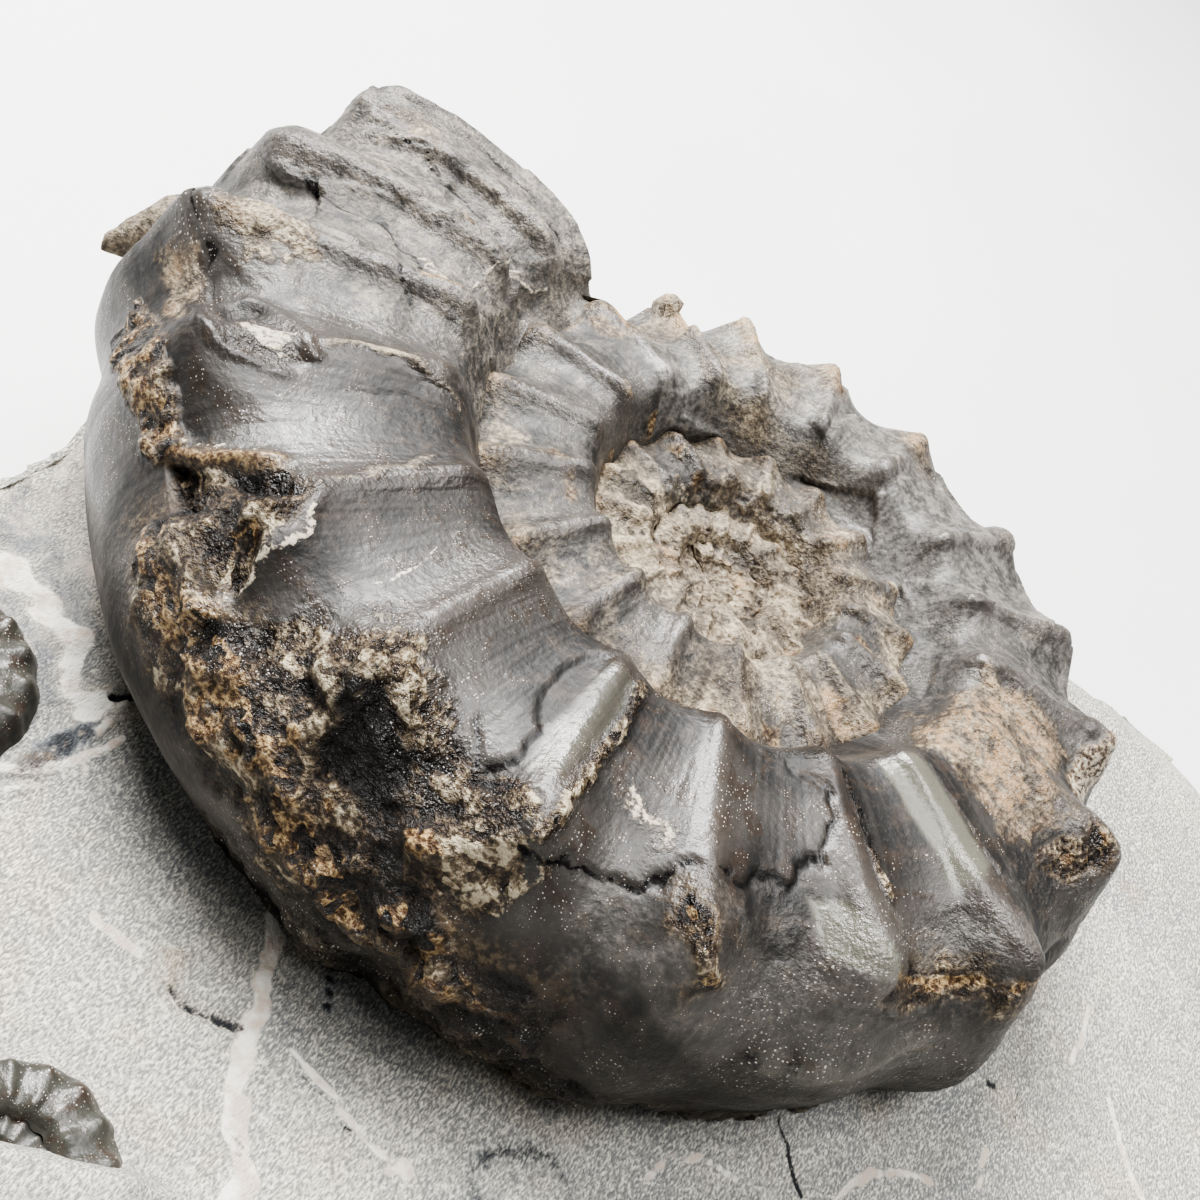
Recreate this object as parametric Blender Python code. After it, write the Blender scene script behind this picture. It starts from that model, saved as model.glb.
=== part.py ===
"""Ammonite fossil on its block of limestone.

A ribbed ammonite with two rows of tubercles lies flat, coil axis upright, on the bed of a loose
limestone block. Two smaller ammonites are part-buried beside it. Lengths are in metres, +Z is
up and the origin is the middle of the block's flat base.
"""

import math
from dataclasses import dataclass

import bpy
import numpy as np

TURN = 2 * math.pi

# Driving dimensions of the large ammonite, and where its coil axis stands.
ROW_RADIUS = 0.032  # coil axis to the outer tubercle row, at the last rib
COIL_X = -0.0040
COIL_Y = 0.0137
COIL_HEIGHT = 0.032  # middle plane of the coil above the base
EXPANSION = 1.93  # growth of the radius in one turn
APERTURE_ANGLE = math.radians(163.6)

# Driving dimensions of the block.
BLOCK_LENGTH = 0.090
BLOCK_WIDTH = 0.086
BED_HEIGHT = 0.02495  # at the coil axis
BED_RISE_X = 0.0755  # slope of the bed
BED_RISE_Y = 0.012
EDGE_DROP = 0.0022  # fall of the bed towards its broken edge
GAP = 0.0003  # clearance between a fossil and the rock under it
CLEARING = (0.0034, 0.0082)  # the bed's relief starts and is full this far from a fossil

# Section of a whorl over the flank, from the umbilical wall to the outer tubercle, as (distance
# from the coil axis, height over the middle plane) in units of the whorl's row radius.
FURROW = ((0.548, 0.205), (0.602, 0.272), (0.700, 0.284), (0.850, 0.262), (0.965, 0.213))
CREST = ((0.552, 0.225), (0.612, 0.318), (0.700, 0.316), (0.850, 0.299), (1.000, 0.280))
LEAN = (0.072, 0.072, 0.055, 0.028, 0.0)  # radians that a rib leans forward
SLANT = (0.0, 0.05, 0.15, 0.45, 1.0)  # how the broken edge runs back over the flank
SLANT_FADE = 0.9  # radians behind the broken edge over which the slant dies out

# The same over the venter, down to where the whorl turns under.
VENTER_FURROW = ((1.050, 0.125), (1.096, 0.0), (1.080, -0.13))
VENTER_CREST = ((1.068, 0.132), (1.104, 0.0), (1.084, -0.13))
WAIST = 0.93
BULGE = 0.17
DEPTH = 0.33
FOOT = 1.05  # where the venter meets the bed
DROOP = 0.24  # lowering of the shoulder beside the mouth

# Ribs of the large shell as (angle back from the mouth, reach of the outer tubercle).
RIBS = (
    (-0.260, 1.000), (0.060, 1.000), (0.320, 1.015), (0.612, 1.040), (0.900, 1.000),
    (1.245, 1.000), (1.550, 0.990), (1.890, 0.970), (2.200, 1.020), (2.544, 1.000),
    (2.872, 1.040), (3.310, 1.030), (3.650, 1.010), (3.980, 0.985), (4.325, 0.950),
    (4.765, 1.010), (5.132, 1.015), (5.480, 1.020), (5.770, 1.035), (6.080, 1.000),
)
RIB_SPACING = 0.36  # of the older ribs, and of the small shells

# Pits and lumps of the large shell, as (angle, distance, level, reach, height).
DAMAGE = (
    (1.19, 0.985, 0.27, 0.0028, -0.0011),
    (1.56, 1.015, 0.25, 0.0026, -0.0008),
    (1.30, 1.065, 0.12, 0.0020, 0.0008),
    (1.46, 1.075, 0.10, 0.0019, -0.0006),
    (1.63, 1.060, 0.15, 0.0021, 0.0008),
    (1.76, 1.090, 0.02, 0.0018, -0.0006),
    (1.88, 1.060, 0.13, 0.0020, 0.0007),
    (2.03, 1.080, -0.08, 0.0020, 0.0006),
    (0.89, 0.920, 0.29, 0.0016, -0.0004),
    (1.80, 0.780, 0.32, 0.0018, -0.0005),
    (3.18, 0.780, 0.31, 0.0022, 0.0005),
    (3.46, 1.000, 0.24, 0.0018, -0.0008),
)

# Spine of the far tubercle row, as (angle, distance, level, thickness).
SPINE = (
    (0.27, 0.975, -0.075, 0.0026),
    (0.28, 1.080, -0.080, 0.0027),
    (0.31, 1.160, -0.092, 0.0022),
    (0.37, 1.220, -0.110, 0.0013),
    (0.41, 1.245, -0.120, 0.0004),
)
SPINE_SIDES = 9


@dataclass(frozen=True)
class Coil:
    """A shell lying flat. Its angles run back from the last rib, in radians."""

    x: float
    y: float
    height: float  # middle plane above the base
    row_radius: float
    aperture: float  # where the last rib stands, round the coil axis
    mouth: float  # the broken edge reaches this far past the last rib, at the seam
    slant: float  # and this much less at the outer tubercles
    lift: float  # rise of the inner whorls
    swell: float  # extra radius half a turn back
    ribs: tuple
    damage: tuple
    stations_per_rib: int
    turns: int
    venter_points: int  # section points of the venter that stand clear of the bed


LARGE = Coil(
    x=COIL_X,
    y=COIL_Y,
    height=COIL_HEIGHT,
    row_radius=ROW_RADIUS,
    aperture=APERTURE_ANGLE,
    mouth=0.22,
    slant=0.26,
    lift=0.0009,
    swell=0.03,
    ribs=RIBS,
    damage=DAMAGE,
    stations_per_rib=5,
    turns=3,
    venter_points=3,
)
LEFT = Coil(
    x=-0.0291,
    y=-0.0150,
    height=0.0233,
    row_radius=0.0058,
    aperture=math.radians(330),
    mouth=0.0,
    slant=0.0,
    lift=0.0,
    swell=0.0,
    ribs=((-RIB_SPACING, 1.0), (0.0, 1.0)),
    damage=(),
    stations_per_rib=2,
    turns=2,
    venter_points=1,
)
CORNER = Coil(
    x=-0.0107,
    y=-0.0284,
    height=0.0243,
    row_radius=0.0046,
    aperture=math.radians(20),
    mouth=0.0,
    slant=0.0,
    lift=0.0,
    swell=0.0,
    ribs=((-RIB_SPACING, 1.0), (0.0, 1.0)),
    damage=(),
    stations_per_rib=2,
    turns=2,
    venter_points=1,
)

# Outline of the block seen from above, anticlockwise, before it is fitted to its length and
# width.
OUTLINE = (
    (45.0, 4.0), (44.6, 19.0), (42.0, 31.0), (34.5, 40.0), (26.5, 42.8), (14.0, 43.0),
    (-3.0, 41.4), (-20.0, 39.5), (-34.0, 36.5), (-42.5, 31.5), (-45.2, 25.5), (-44.4, 19.0),
    (-40.9, 11.5), (-38.8, 5.0), (-37.6, -1.0), (-39.0, -13.0), (-35.5, -26.5), (-26.0, -37.0),
    (-11.0, -42.5), (6.0, -43.0), (22.0, -39.5), (35.0, -29.5), (42.5, -14.0),
)
OUTLINE_STATIONS = 88
BED_RINGS = (0.22, 0.44, 0.58, 0.67, 0.75, 0.81, 0.86, 0.905, 0.945, 0.975)
# Broken side, as (share of the outline, share of the bed's height, depth of its hollows).
EDGE_RINGS = (
    (0.992, 0.93, 0.0006), (1.0, 0.80, 0.0), (0.998, 0.60, 0.0018), (1.0, 0.36, 0.0013),
    (0.985, 0.12, 0.0016), (0.965, 0.0, 0.0012),
)
BASE_RINGS = (0.60, 0.25)

# Mounds and hollows of the bed, as (x, y, reach, height).
MOUNDS = (
    (-0.0340, 0.0010, 0.0060, 0.0012),
    (-0.0280, -0.0050, 0.0040, 0.0008),
    (0.0400, 0.0050, 0.0140, -0.0008),
    (0.0300, -0.0190, 0.0130, 0.0009),
    (0.0160, -0.0110, 0.0060, 0.0010),
)

# Ledge at the block's left, above the bed: its edge runs from the large shell to the front.
LEDGE_EDGE = ((-0.0232, -0.0060), (-0.0210, -0.0120), (-0.0216, -0.0168), (-0.0270, -0.0245))
LEDGE_HEIGHT = 0.0013
LEDGE_FACE = 0.0022  # width of the sloping face


def coil_radius(coil, angle):
    """Radius of the outer tubercle row."""
    swollen = 1 + coil.swell * np.exp(-(((angle - 3.1) / 0.5) ** 2))
    return coil.row_radius * EXPANSION ** (-angle / TURN) * swollen


def all_ribs(coil):
    """Angles and reaches of every rib down to the middle."""
    angles, reaches = [list(part) for part in zip(*coil.ribs)]
    while angles[-1] < TURN * (coil.turns + 1):
        angles.append(angles[-1] + RIB_SPACING)
        reaches.append(1.0)
    return np.array(angles), np.array(reaches)


def smooth_step(low, high, value):
    part = np.clip((value - low) / (high - low), 0.0, 1.0)
    return part * part * (3 - 2 * part)


def bed_height(x, y):
    """Plane that the bed keeps under every fossil."""
    return BED_HEIGHT + (x - COIL_X) * BED_RISE_X + (y - COIL_Y) * BED_RISE_Y


def curve_through(control, places):
    """Catmull-Rom curves through control points of shape (curves, points, axes)."""
    last = control.shape[1] - 1
    places = np.asarray(places)
    start = np.minimum(places.astype(int), last - 1)
    part = (places - start)[None, :, None]
    a = control[:, np.maximum(start - 1, 0)]
    b = control[:, start]
    c = control[:, start + 1]
    d = control[:, np.minimum(start + 2, last)]
    square = 2 * a - 5 * b + 4 * c - d
    cube = -a + 3 * b - 3 * c + d
    return 0.5 * (2 * b + (c - a) * part + square * part**2 + cube * part**3)


def shell_place(coil, angle, distance, level):
    """Point at a distance and level given in units of the row radius there."""
    radius = coil_radius(coil, angle)
    around = coil.aperture + angle
    lift = coil.lift * smooth_step(3.5, 6.5, angle)
    return np.stack(
        [
            coil.x + radius * distance * np.cos(around),
            coil.y + radius * distance * np.sin(around),
            coil.height + radius * level + lift,
        ],
        axis=-1,
    )


def section_point(coil, angle, furrow, crest, lean):
    """A point of the ribbed section, for every angle."""
    rib_angles, reaches = all_ribs(coil)
    leaning = angle + lean
    number = np.interp(leaning, rib_angles, np.arange(len(rib_angles)))
    share = (0.5 + 0.5 * np.cos(TURN * number)) ** 1.3
    outer = np.clip((crest[0] - 0.6) / 0.4, 0.0, 1.0)
    inner = np.clip((0.9 - crest[0]) / 0.3, 0.0, 1.0)
    tip = crest[0] * (1 + (np.interp(leaning, rib_angles, reaches) - 1) * outer)
    distance = furrow[0] * (1 - share) + tip * share
    level = furrow[1] * (1 - share) + crest[1] * share
    level *= 1 - DROOP * inner * (1 - smooth_step(-0.2, 0.5, angle)) * (coil.slant > 0)
    return shell_place(coil, angle, distance, level)


def contact_point(coil, angle):
    """Where the venter meets the bed."""
    radius = coil_radius(coil, angle)
    around = coil.aperture + angle
    distance = np.ones_like(angle)
    for _ in range(4):
        x = coil.x + radius * distance * np.cos(around)
        y = coil.y + radius * distance * np.sin(around)
        level = bed_height(x, y) + GAP - coil.height
        inside = np.clip(level / radius / DEPTH, -0.97, 0.97)
        distance = WAIST + BULGE * (1 - inside**2) ** 0.6
    return np.stack([x, y, bed_height(x, y) + GAP], axis=1)


def damaged(coil, points):
    """The points moved out or in at the coil's lumps and pits."""
    around = np.arctan2(points[..., 1] - coil.y, points[..., 0] - coil.x)
    radius = np.hypot(points[..., 1] - coil.y, points[..., 0] - coil.x)
    hub = np.stack(
        [
            coil.x + 0.8 * radius * np.cos(around),
            coil.y + 0.8 * radius * np.sin(around),
            np.full_like(around, coil.height),
        ],
        axis=-1,
    )
    outward = points - hub
    outward /= np.linalg.norm(outward, axis=-1, keepdims=True)
    move = np.zeros_like(around)
    for angle, distance, level, reach, height in coil.damage:
        away = np.linalg.norm(points - shell_place(coil, angle, distance, level), axis=-1)
        move += height * np.exp(-((away / reach) ** 2))
    clear = points[..., 2] - bed_height(points[..., 0], points[..., 1]) - GAP
    return points + outward * (move * smooth_step(0.0, 0.003, clear))[..., None]


def coil_stations(coil):
    """Angles from the mouth back through one turn, at equal shares of a rib."""
    rib_angles, _ = all_ribs(coil)
    numbers = np.arange(len(rib_angles))
    step = 1.0 / coil.stations_per_rib
    first, last = np.interp([-coil.mouth, TURN - coil.mouth], rib_angles, numbers)
    inner = np.arange(math.ceil(first / step + 0.4), math.floor(last / step - 0.4) + 1) * step
    return np.array([-coil.mouth, *np.interp(inner, numbers, rib_angles), TURN - coil.mouth])


def coil_points(coil):
    """Flank points of every turn, and venter points of the outer one."""
    turn = coil_stations(coil)
    angles = np.concatenate([turn[:-1] + TURN * k for k in range(coil.turns)])
    angles = np.append(angles, turn[-1] + TURN * (coil.turns - 1))
    fade = np.clip(1 - (angles + coil.mouth) / SLANT_FADE, 0.0, 1.0) ** 2
    control = [section_point(coil, angles + TURN, FURROW[-1], CREST[-1], LEAN[-1])]
    for furrow, crest, lean, slant in zip(FURROW, CREST, LEAN, SLANT):
        at = angles + coil.slant * slant * fade
        control.append(section_point(coil, at, furrow, crest, lean))
    flank = np.stack(control, axis=1)
    outer = slice(0, len(turn))
    at = (angles + coil.slant * fade)[outer]
    rounding = [point[outer] for point in control[-2:]]
    for furrow, crest in list(zip(VENTER_FURROW, VENTER_CREST))[: coil.venter_points]:
        rounding.append(section_point(coil, at, furrow, crest, 0.0))
    rounding.append(contact_point(coil, at))
    places = np.linspace(1.5, len(rounding) - 1, 2 * coil.venter_points + 2)
    venter = curve_through(np.stack(rounding, axis=1), places)
    return damaged(coil, flank), damaged(coil, venter)


def coil_mesh(coil):
    """Closed mesh of a shell: flanks down to the middle, venter, broken mouth and underside."""
    flank, venter = coil_points(coil)
    per_turn = len(venter) - 1
    last = flank.shape[1] - 1
    points = []
    flank_id = np.zeros(flank.shape[:2], int)
    for station, row in enumerate(flank):
        for column, point in enumerate(row):
            if column == last and station >= per_turn:
                flank_id[station, column] = flank_id[station - per_turn, 0]
            else:
                flank_id[station, column] = len(points)
                points.append(point)
    venter_id = np.arange(venter.shape[0] * venter.shape[1]).reshape(venter.shape[:2])
    venter_id += len(points)
    points.extend(venter.reshape(-1, 3))
    sheet_id = np.column_stack([flank_id[: per_turn + 1], venter_id])
    faces = quads(sheet_id) + quads(flank_id[per_turn:])

    end = len(flank) - 1
    middle = [*flank_id[end - per_turn : end, 0], *flank_id[end, :last]]
    points.append(np.mean([points[i] for i in middle], axis=0))
    centre = len(points) - 1
    faces += [(centre, a, b) for a, b in zip(middle, middle[1:] + middle[:1])]

    mouth = [*sheet_id[0], *sheet_id[per_turn, :last:-1]]
    faces.append(mouth[::-1])
    faces.append(venter_id[::-1, -1])
    return points, faces


def spine_mesh(coil):
    """Closed mesh of the spine, its root inside the shell."""
    path = np.array([shell_place(coil, *place[:3]) for place in SPINE])
    along = path[-1] - path[0]
    along /= np.linalg.norm(along)
    side = np.cross(along, (0.0, 0.0, 1.0))
    side /= np.linalg.norm(side)
    rise = np.cross(side, along)
    turn = np.arange(SPINE_SIDES) * TURN / SPINE_SIDES
    ring = np.cos(turn)[:, None] * side + np.sin(turn)[:, None] * rise
    points = [*path[0] + ring * SPINE[0][3]]
    faces = [tuple(range(SPINE_SIDES))[::-1]]
    for number, (centre, place) in enumerate(zip(path[1:], SPINE[1:])):
        points.extend(centre + ring * place[3])
        for i in range(SPINE_SIDES):
            a = number * SPINE_SIDES + i
            b = number * SPINE_SIDES + (i + 1) % SPINE_SIDES
            faces.append((a, b, b + SPINE_SIDES, a + SPINE_SIDES))
    faces.append(tuple(range(len(points) - SPINE_SIDES, len(points))))
    return points, faces


def quads(ids):
    """Four-sided faces over a grid of point numbers."""
    corners = zip(ids[:-1, :-1].flat, ids[:-1, 1:].flat, ids[1:, 1:].flat, ids[1:, :-1].flat)
    return [tuple(int(i) for i in corner) for corner in corners]


def block_outline():
    """Points of the block's outline, fitted to its length and width."""
    corners = np.array(OUTLINE + OUTLINE[:3])[None]
    places = 1 + np.arange(OUTLINE_STATIONS) * len(OUTLINE) / OUTLINE_STATIONS
    ring = curve_through(corners, places)[0]
    low, high = ring.min(axis=0), ring.max(axis=0)
    size = np.array([BLOCK_LENGTH, BLOCK_WIDTH])
    return (ring - (low + high) / 2) / (high - low) * size


def beyond_foot(coil, x, y):
    """Distance outwards from the shell's foot on the bed."""
    around = np.arctan2(y - coil.y, x - coil.x) - coil.aperture + coil.mouth
    angle = around % TURN - coil.mouth
    ahead = smooth_step(TURN - coil.mouth - 0.7, TURN - coil.mouth, angle)
    foot = coil_radius(coil, angle) * (1 - ahead) + coil_radius(coil, -coil.mouth) * ahead
    return np.hypot(x - coil.x, y - coil.y) - FOOT * foot


def ledge_relief(x, y):
    """Height of the ledge, which lies left of its edge."""
    edge_y, edge_x = np.array(sorted((y_, x_) for x_, y_ in LEDGE_EDGE)).T
    past = np.interp(y, edge_y, edge_x) - x
    front = smooth_step(edge_y[0] - 0.006, edge_y[0], y)
    back = 1 - smooth_step(0.006, 0.016, y)
    return LEDGE_HEIGHT * smooth_step(0.0, LEDGE_FACE, past) * front * back


def clear_of_fossils(x, y):
    """None under and close round a fossil, all away from it."""
    clear = np.ones_like(x)
    for coil in (LARGE, LEFT, CORNER):
        clear *= smooth_step(*CLEARING, beyond_foot(coil, x, y))
    return clear


def bed_relief(x, y):
    """Height of the bed over its plane."""
    relief = ledge_relief(x, y)
    for mound_x, mound_y, reach, height in MOUNDS:
        distance = np.hypot(x - mound_x, y - mound_y)
        relief += height * np.exp(-((distance / reach) ** 2))
    return relief


def side_hollows(around, part, depth):
    """How far the broken side stands in, as a share of the outline."""
    wave = np.sin(5 * around + 9 * part) + 0.7 * np.sin(13 * around - 14 * part)
    wave += 0.5 * np.sin(23 * around + 21 * part)
    return depth * (2.2 + wave) / 2.2 / (BLOCK_WIDTH / 2)


def block_mesh():
    """Closed mesh of the block: bed, broken sides and flat base, as rings round its middle."""
    outline = block_outline()
    rings = []
    for share in BED_RINGS:
        x, y = (outline * share).T
        relief = bed_relief(x, y) - EDGE_DROP * smooth_step(0.86, 1.0, share)
        rings.append(np.stack([x, y, bed_height(x, y) + relief * clear_of_fossils(x, y)], axis=1))
    around = np.arctan2(outline[:, 1], outline[:, 0])
    for share, part, depth in EDGE_RINGS:
        x, y = (outline * (share - side_hollows(around, part, depth))[:, None]).T
        rings.append(np.stack([x, y, part * (bed_height(x, y) - EDGE_DROP)], axis=1))
    for share in BASE_RINGS:
        x, y = (outline * share).T
        rings.append(np.stack([x, y, np.zeros_like(x)], axis=1))
    grid = np.stack(rings, axis=1)
    points = [*grid.reshape(-1, 3), (0.0, 0.0, bed_height(0.0, 0.0)), (0.0, 0.0, 0.0)]
    ids = np.arange(grid.shape[0] * grid.shape[1]).reshape(grid.shape[:2])
    ids = np.vstack([ids, ids[:1]])
    top, base = len(points) - 2, len(points) - 1
    faces = quads(ids)
    faces += [(top, int(a), int(b)) for a, b in zip(ids[:-1, 0], ids[1:, 0])]
    faces += [(base, int(b), int(a)) for a, b in zip(ids[:-1, -1], ids[1:, -1])]
    return points, faces


def stone(name, colour, roughness):
    """Material of a sub-part."""
    material = bpy.data.materials.new(name)
    material.use_nodes = True
    shader = material.node_tree.nodes["Principled BSDF"]
    shader.inputs["Base Color"].default_value = (*colour, 1.0)
    shader.inputs["Roughness"].default_value = roughness
    material.diffuse_color = (*colour, 1.0)
    return material


def add_object(name, shape, material, collection):
    points, faces = shape
    mesh = bpy.data.meshes.new(name)
    mesh.from_pydata([tuple(float(v) for v in p) for p in points], [], [tuple(f) for f in faces])
    mesh.materials.append(material)
    mesh.validate()
    obj = bpy.data.objects.new(name, mesh)
    collection.objects.link(obj)
    mesh.shade_smooth()
    mesh.set_sharp_from_angle(angle=math.radians(40))
    return obj


def add_spine(shell, material, collection):
    """The spine, made one body with the shell."""
    spine = add_object("spine", spine_mesh(LARGE), material, collection)
    spine.hide_render = True
    spine.display_type = "WIRE"
    joint = shell.modifiers.new("spine", "BOOLEAN")
    joint.operation = "UNION"
    joint.solver = "EXACT"
    joint.object = spine


def main():
    for obj in list(bpy.data.objects):
        bpy.data.objects.remove(obj)
    parts = bpy.data.collections.new("ammonite_fossil")
    cutters = bpy.data.collections.new("cutters")
    for collection in (parts, cutters):
        bpy.context.scene.collection.children.link(collection)
    cutters.hide_render = True
    shell = stone("shell_calcite", (0.09, 0.075, 0.068), 0.32)
    small_shell = stone("small_shells", (0.11, 0.10, 0.09), 0.40)
    limestone = stone("limestone", (0.47, 0.45, 0.41), 0.85)
    large = add_object("ammonite", coil_mesh(LARGE), shell, parts)
    add_spine(large, shell, cutters)
    add_object("side_ammonite", coil_mesh(LEFT), small_shell, parts)
    add_object("corner_ammonite", coil_mesh(CORNER), small_shell, parts)
    add_object("matrix", block_mesh(), limestone, parts)


main()
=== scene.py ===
"""Looks of the ammonite fossil on its block: fine shells, rock, crystals, materials, light and camera.

The shells are the same logarithmic coils as in the CAD part, made finer. Lengths are in metres
unless a name or comment gives millimetres, +Z is up, and the origin is the middle of the block's
flat base.
"""

import math
from dataclasses import dataclass, fields
from types import SimpleNamespace

import bpy
import numpy as np
from mathutils import Matrix, Vector


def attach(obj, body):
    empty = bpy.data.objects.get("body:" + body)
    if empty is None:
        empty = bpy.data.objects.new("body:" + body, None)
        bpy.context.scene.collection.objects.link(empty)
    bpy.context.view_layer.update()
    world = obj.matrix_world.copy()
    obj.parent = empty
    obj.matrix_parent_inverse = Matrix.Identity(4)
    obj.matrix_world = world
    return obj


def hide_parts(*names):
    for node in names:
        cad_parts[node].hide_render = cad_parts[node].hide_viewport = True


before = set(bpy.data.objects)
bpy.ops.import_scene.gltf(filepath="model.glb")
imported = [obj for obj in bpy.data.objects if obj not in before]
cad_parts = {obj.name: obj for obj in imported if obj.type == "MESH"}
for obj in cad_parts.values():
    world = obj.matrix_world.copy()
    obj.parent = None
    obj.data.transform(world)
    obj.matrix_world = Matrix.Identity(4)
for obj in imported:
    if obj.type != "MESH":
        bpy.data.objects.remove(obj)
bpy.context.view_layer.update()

TURN = 2 * math.pi
MM = 0.001
TINY = 1e-15  # keeps a length of 0 from dividing

# ---------------------------------------------------------------- the coils, as in the CAD part

EXPANSION = 1.93  # growth of the radius in one turn
BED_HEIGHT = 0.02495  # at the large shell's coil axis
BED_RISE_X = 0.0755
BED_RISE_Y = 0.012

# Section of a whorl, from the umbilical wall to the outer tubercle, as (distance from the coil
# axis, height over the middle plane) in units of the whorl's row radius.
FURROW = ((0.548, 0.205), (0.602, 0.272), (0.700, 0.284), (0.850, 0.262), (0.965, 0.213))
CREST = ((0.552, 0.225), (0.612, 0.318), (0.700, 0.316), (0.850, 0.299), (1.000, 0.280))
LEAN = (0.072, 0.072, 0.055, 0.028, 0.0)  # radians that a rib leans forward
SLANT = (0.0, 0.05, 0.15, 0.45, 1.0)  # how the broken edge runs back over the flank
SLANT_FADE = 0.9
VENTER_FURROW = ((1.050, 0.125), (1.096, 0.0), (1.080, -0.13))
VENTER_CREST = ((1.068, 0.132), (1.104, 0.0), (1.084, -0.13))
RIB_SHARPNESS = 1.3
TIP_SPAN = (0.6, 1.0)  # distances over which a tubercle's reach comes in
SHOULDER_SPAN = (0.9, 0.6)  # distances over which the shoulder's droop comes in
DROOP = 0.24  # lowering of the shoulder beside the mouth
DROOP_END = (-0.2, 0.5)  # angles over which it ends
SWELL_ANGLE = 3.1  # where the last whorl is swollen
SWELL_REACH = 0.5
LIFT_SPAN = (3.5, 6.5)  # angles over which the last whorl rises

# The venter's bulge down to the bed, in units of the row radius.
WAIST = 0.93
BULGE = 0.17
DEPTH = 0.33
ROUNDNESS = 0.6
LOWEST = 0.97  # share of the depth
FOOT = 1.05  # where the venter meets the bed
CONTACT_STEPS = 4
BURIED = 0.0012  # the shell goes on this far below the bed

RIBS = (
    (-0.260, 1.000), (0.060, 1.000), (0.320, 1.015), (0.612, 1.040), (0.900, 1.000),
    (1.245, 1.000), (1.550, 0.990), (1.890, 0.970), (2.200, 1.020), (2.544, 1.000),
    (2.872, 1.040), (3.310, 1.030), (3.650, 1.010), (3.980, 0.985), (4.325, 0.950),
    (4.765, 1.010), (5.132, 1.015), (5.480, 1.020), (5.770, 1.035), (6.080, 1.000),
)
RIB_SPACING = 0.36

# Places along a section: 0 seam, 1 wall, 2 shoulder, 3 and 4 flank, 5 outer tubercles, 6 to 8
# venter, 9 foot, 10 below the bed.
FIRST_PLACE = 1
ROW_PLACE = 5
FOOT_PLACE = 9
EVEN_SAMPLES = 2000
EVEN_ANGLE = 1.5  # the section here spaces the places


@dataclass(frozen=True)
class Coil:
    """A shell lying flat. Its angles run back from the last rib, in radians."""

    x: float
    y: float
    height: float
    row_radius: float
    aperture: float
    mouth: float = 0.0
    slant: float = 0.0
    lift: float = 0.0
    swell: float = 0.0
    ribs: tuple = ((-RIB_SPACING, 1.0), (0.0, 1.0))


LARGE = Coil(
    x=-0.0040, y=0.0137, height=0.032, row_radius=0.032, aperture=math.radians(163.6),
    mouth=0.22, slant=0.26, lift=0.0009, swell=0.03, ribs=RIBS,
)
LEFT = Coil(x=-0.0291, y=-0.0150, height=0.0233, row_radius=0.0058, aperture=math.radians(330))
CORNER = Coil(x=-0.0107, y=-0.0284, height=0.0243, row_radius=0.0046, aperture=math.radians(20))


def ramp(low, high, value):
    """0 at the low end and 1 at the high end, which may be the smaller number."""
    return np.clip((value - low) / (high - low), 0.0, 1.0)


def smooth_step(low, high, value):
    part = ramp(low, high, value)
    return part * part * (3 - 2 * part)


def between(start, end, value):
    """1 between two spans of the value, over which it comes in and dies out."""
    return smooth_step(*start, value) * smooth_step(*end, value)


def coil_radius(coil, angle):
    swollen = 1 + coil.swell * np.exp(-(((angle - SWELL_ANGLE) / SWELL_REACH) ** 2))
    return coil.row_radius * EXPANSION ** (-angle / TURN) * swollen


def all_ribs(coil, last_angle):
    """Angles and reaches of the ribs, carried on evenly past the last angle."""
    angles, reaches = [list(part) for part in zip(*coil.ribs)]
    while angles[-1] < last_angle + 1.0:
        angles.append(angles[-1] + RIB_SPACING)
        reaches.append(1.0)
    return np.array(angles), np.array(reaches)


def rib_share(coil, angle, sharpness):
    """1 on a rib's crest and 0 between ribs, and the reach of its tubercle."""
    rib_angles, reaches = all_ribs(coil, angle.max())
    number = np.interp(angle, rib_angles, np.arange(len(rib_angles)))
    share = (0.5 + 0.5 * np.cos(TURN * number)) ** sharpness
    return share, np.interp(angle, rib_angles, reaches)


def crest_share(coil, angle, place):
    """Sharp share of a rib's crest, with the lean that the rib has at this place."""
    places = range(FIRST_PLACE, ROW_PLACE + 1)
    return rib_share(coil, angle + np.interp(place, places, LEAN), 1.0)[0]


def bed_plane(x, y):
    return BED_HEIGHT + (x - LARGE.x) * BED_RISE_X + (y - LARGE.y) * BED_RISE_Y


def in_plan(coil, angle, distance):
    """Place seen from above, this many row radii from the coil axis."""
    reach = coil_radius(coil, angle) * distance
    around = coil.aperture + angle
    return coil.x + reach * np.cos(around), coil.y + reach * np.sin(around)


def shell_place(coil, angle, distance, level):
    lift = coil.lift * smooth_step(*LIFT_SPAN, angle)
    z = coil.height + coil_radius(coil, angle) * level + lift
    return np.stack([*in_plan(coil, angle, distance), z], axis=-1)


def section_point(coil, angle, furrow, crest, lean):
    share, reach = rib_share(coil, angle + lean, RIB_SHARPNESS)
    tip = crest[0] * (1 + (reach - 1) * ramp(*TIP_SPAN, crest[0]))
    distance = furrow[0] * (1 - share) + tip * share
    level = furrow[1] * (1 - share) + crest[1] * share
    if coil.slant:  # the small shells' mouths don't droop
        by_mouth = 1 - smooth_step(*DROOP_END, angle)
        level *= 1 - DROOP * ramp(*SHOULDER_SPAN, crest[0]) * by_mouth
    return shell_place(coil, angle, distance, level)


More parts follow.
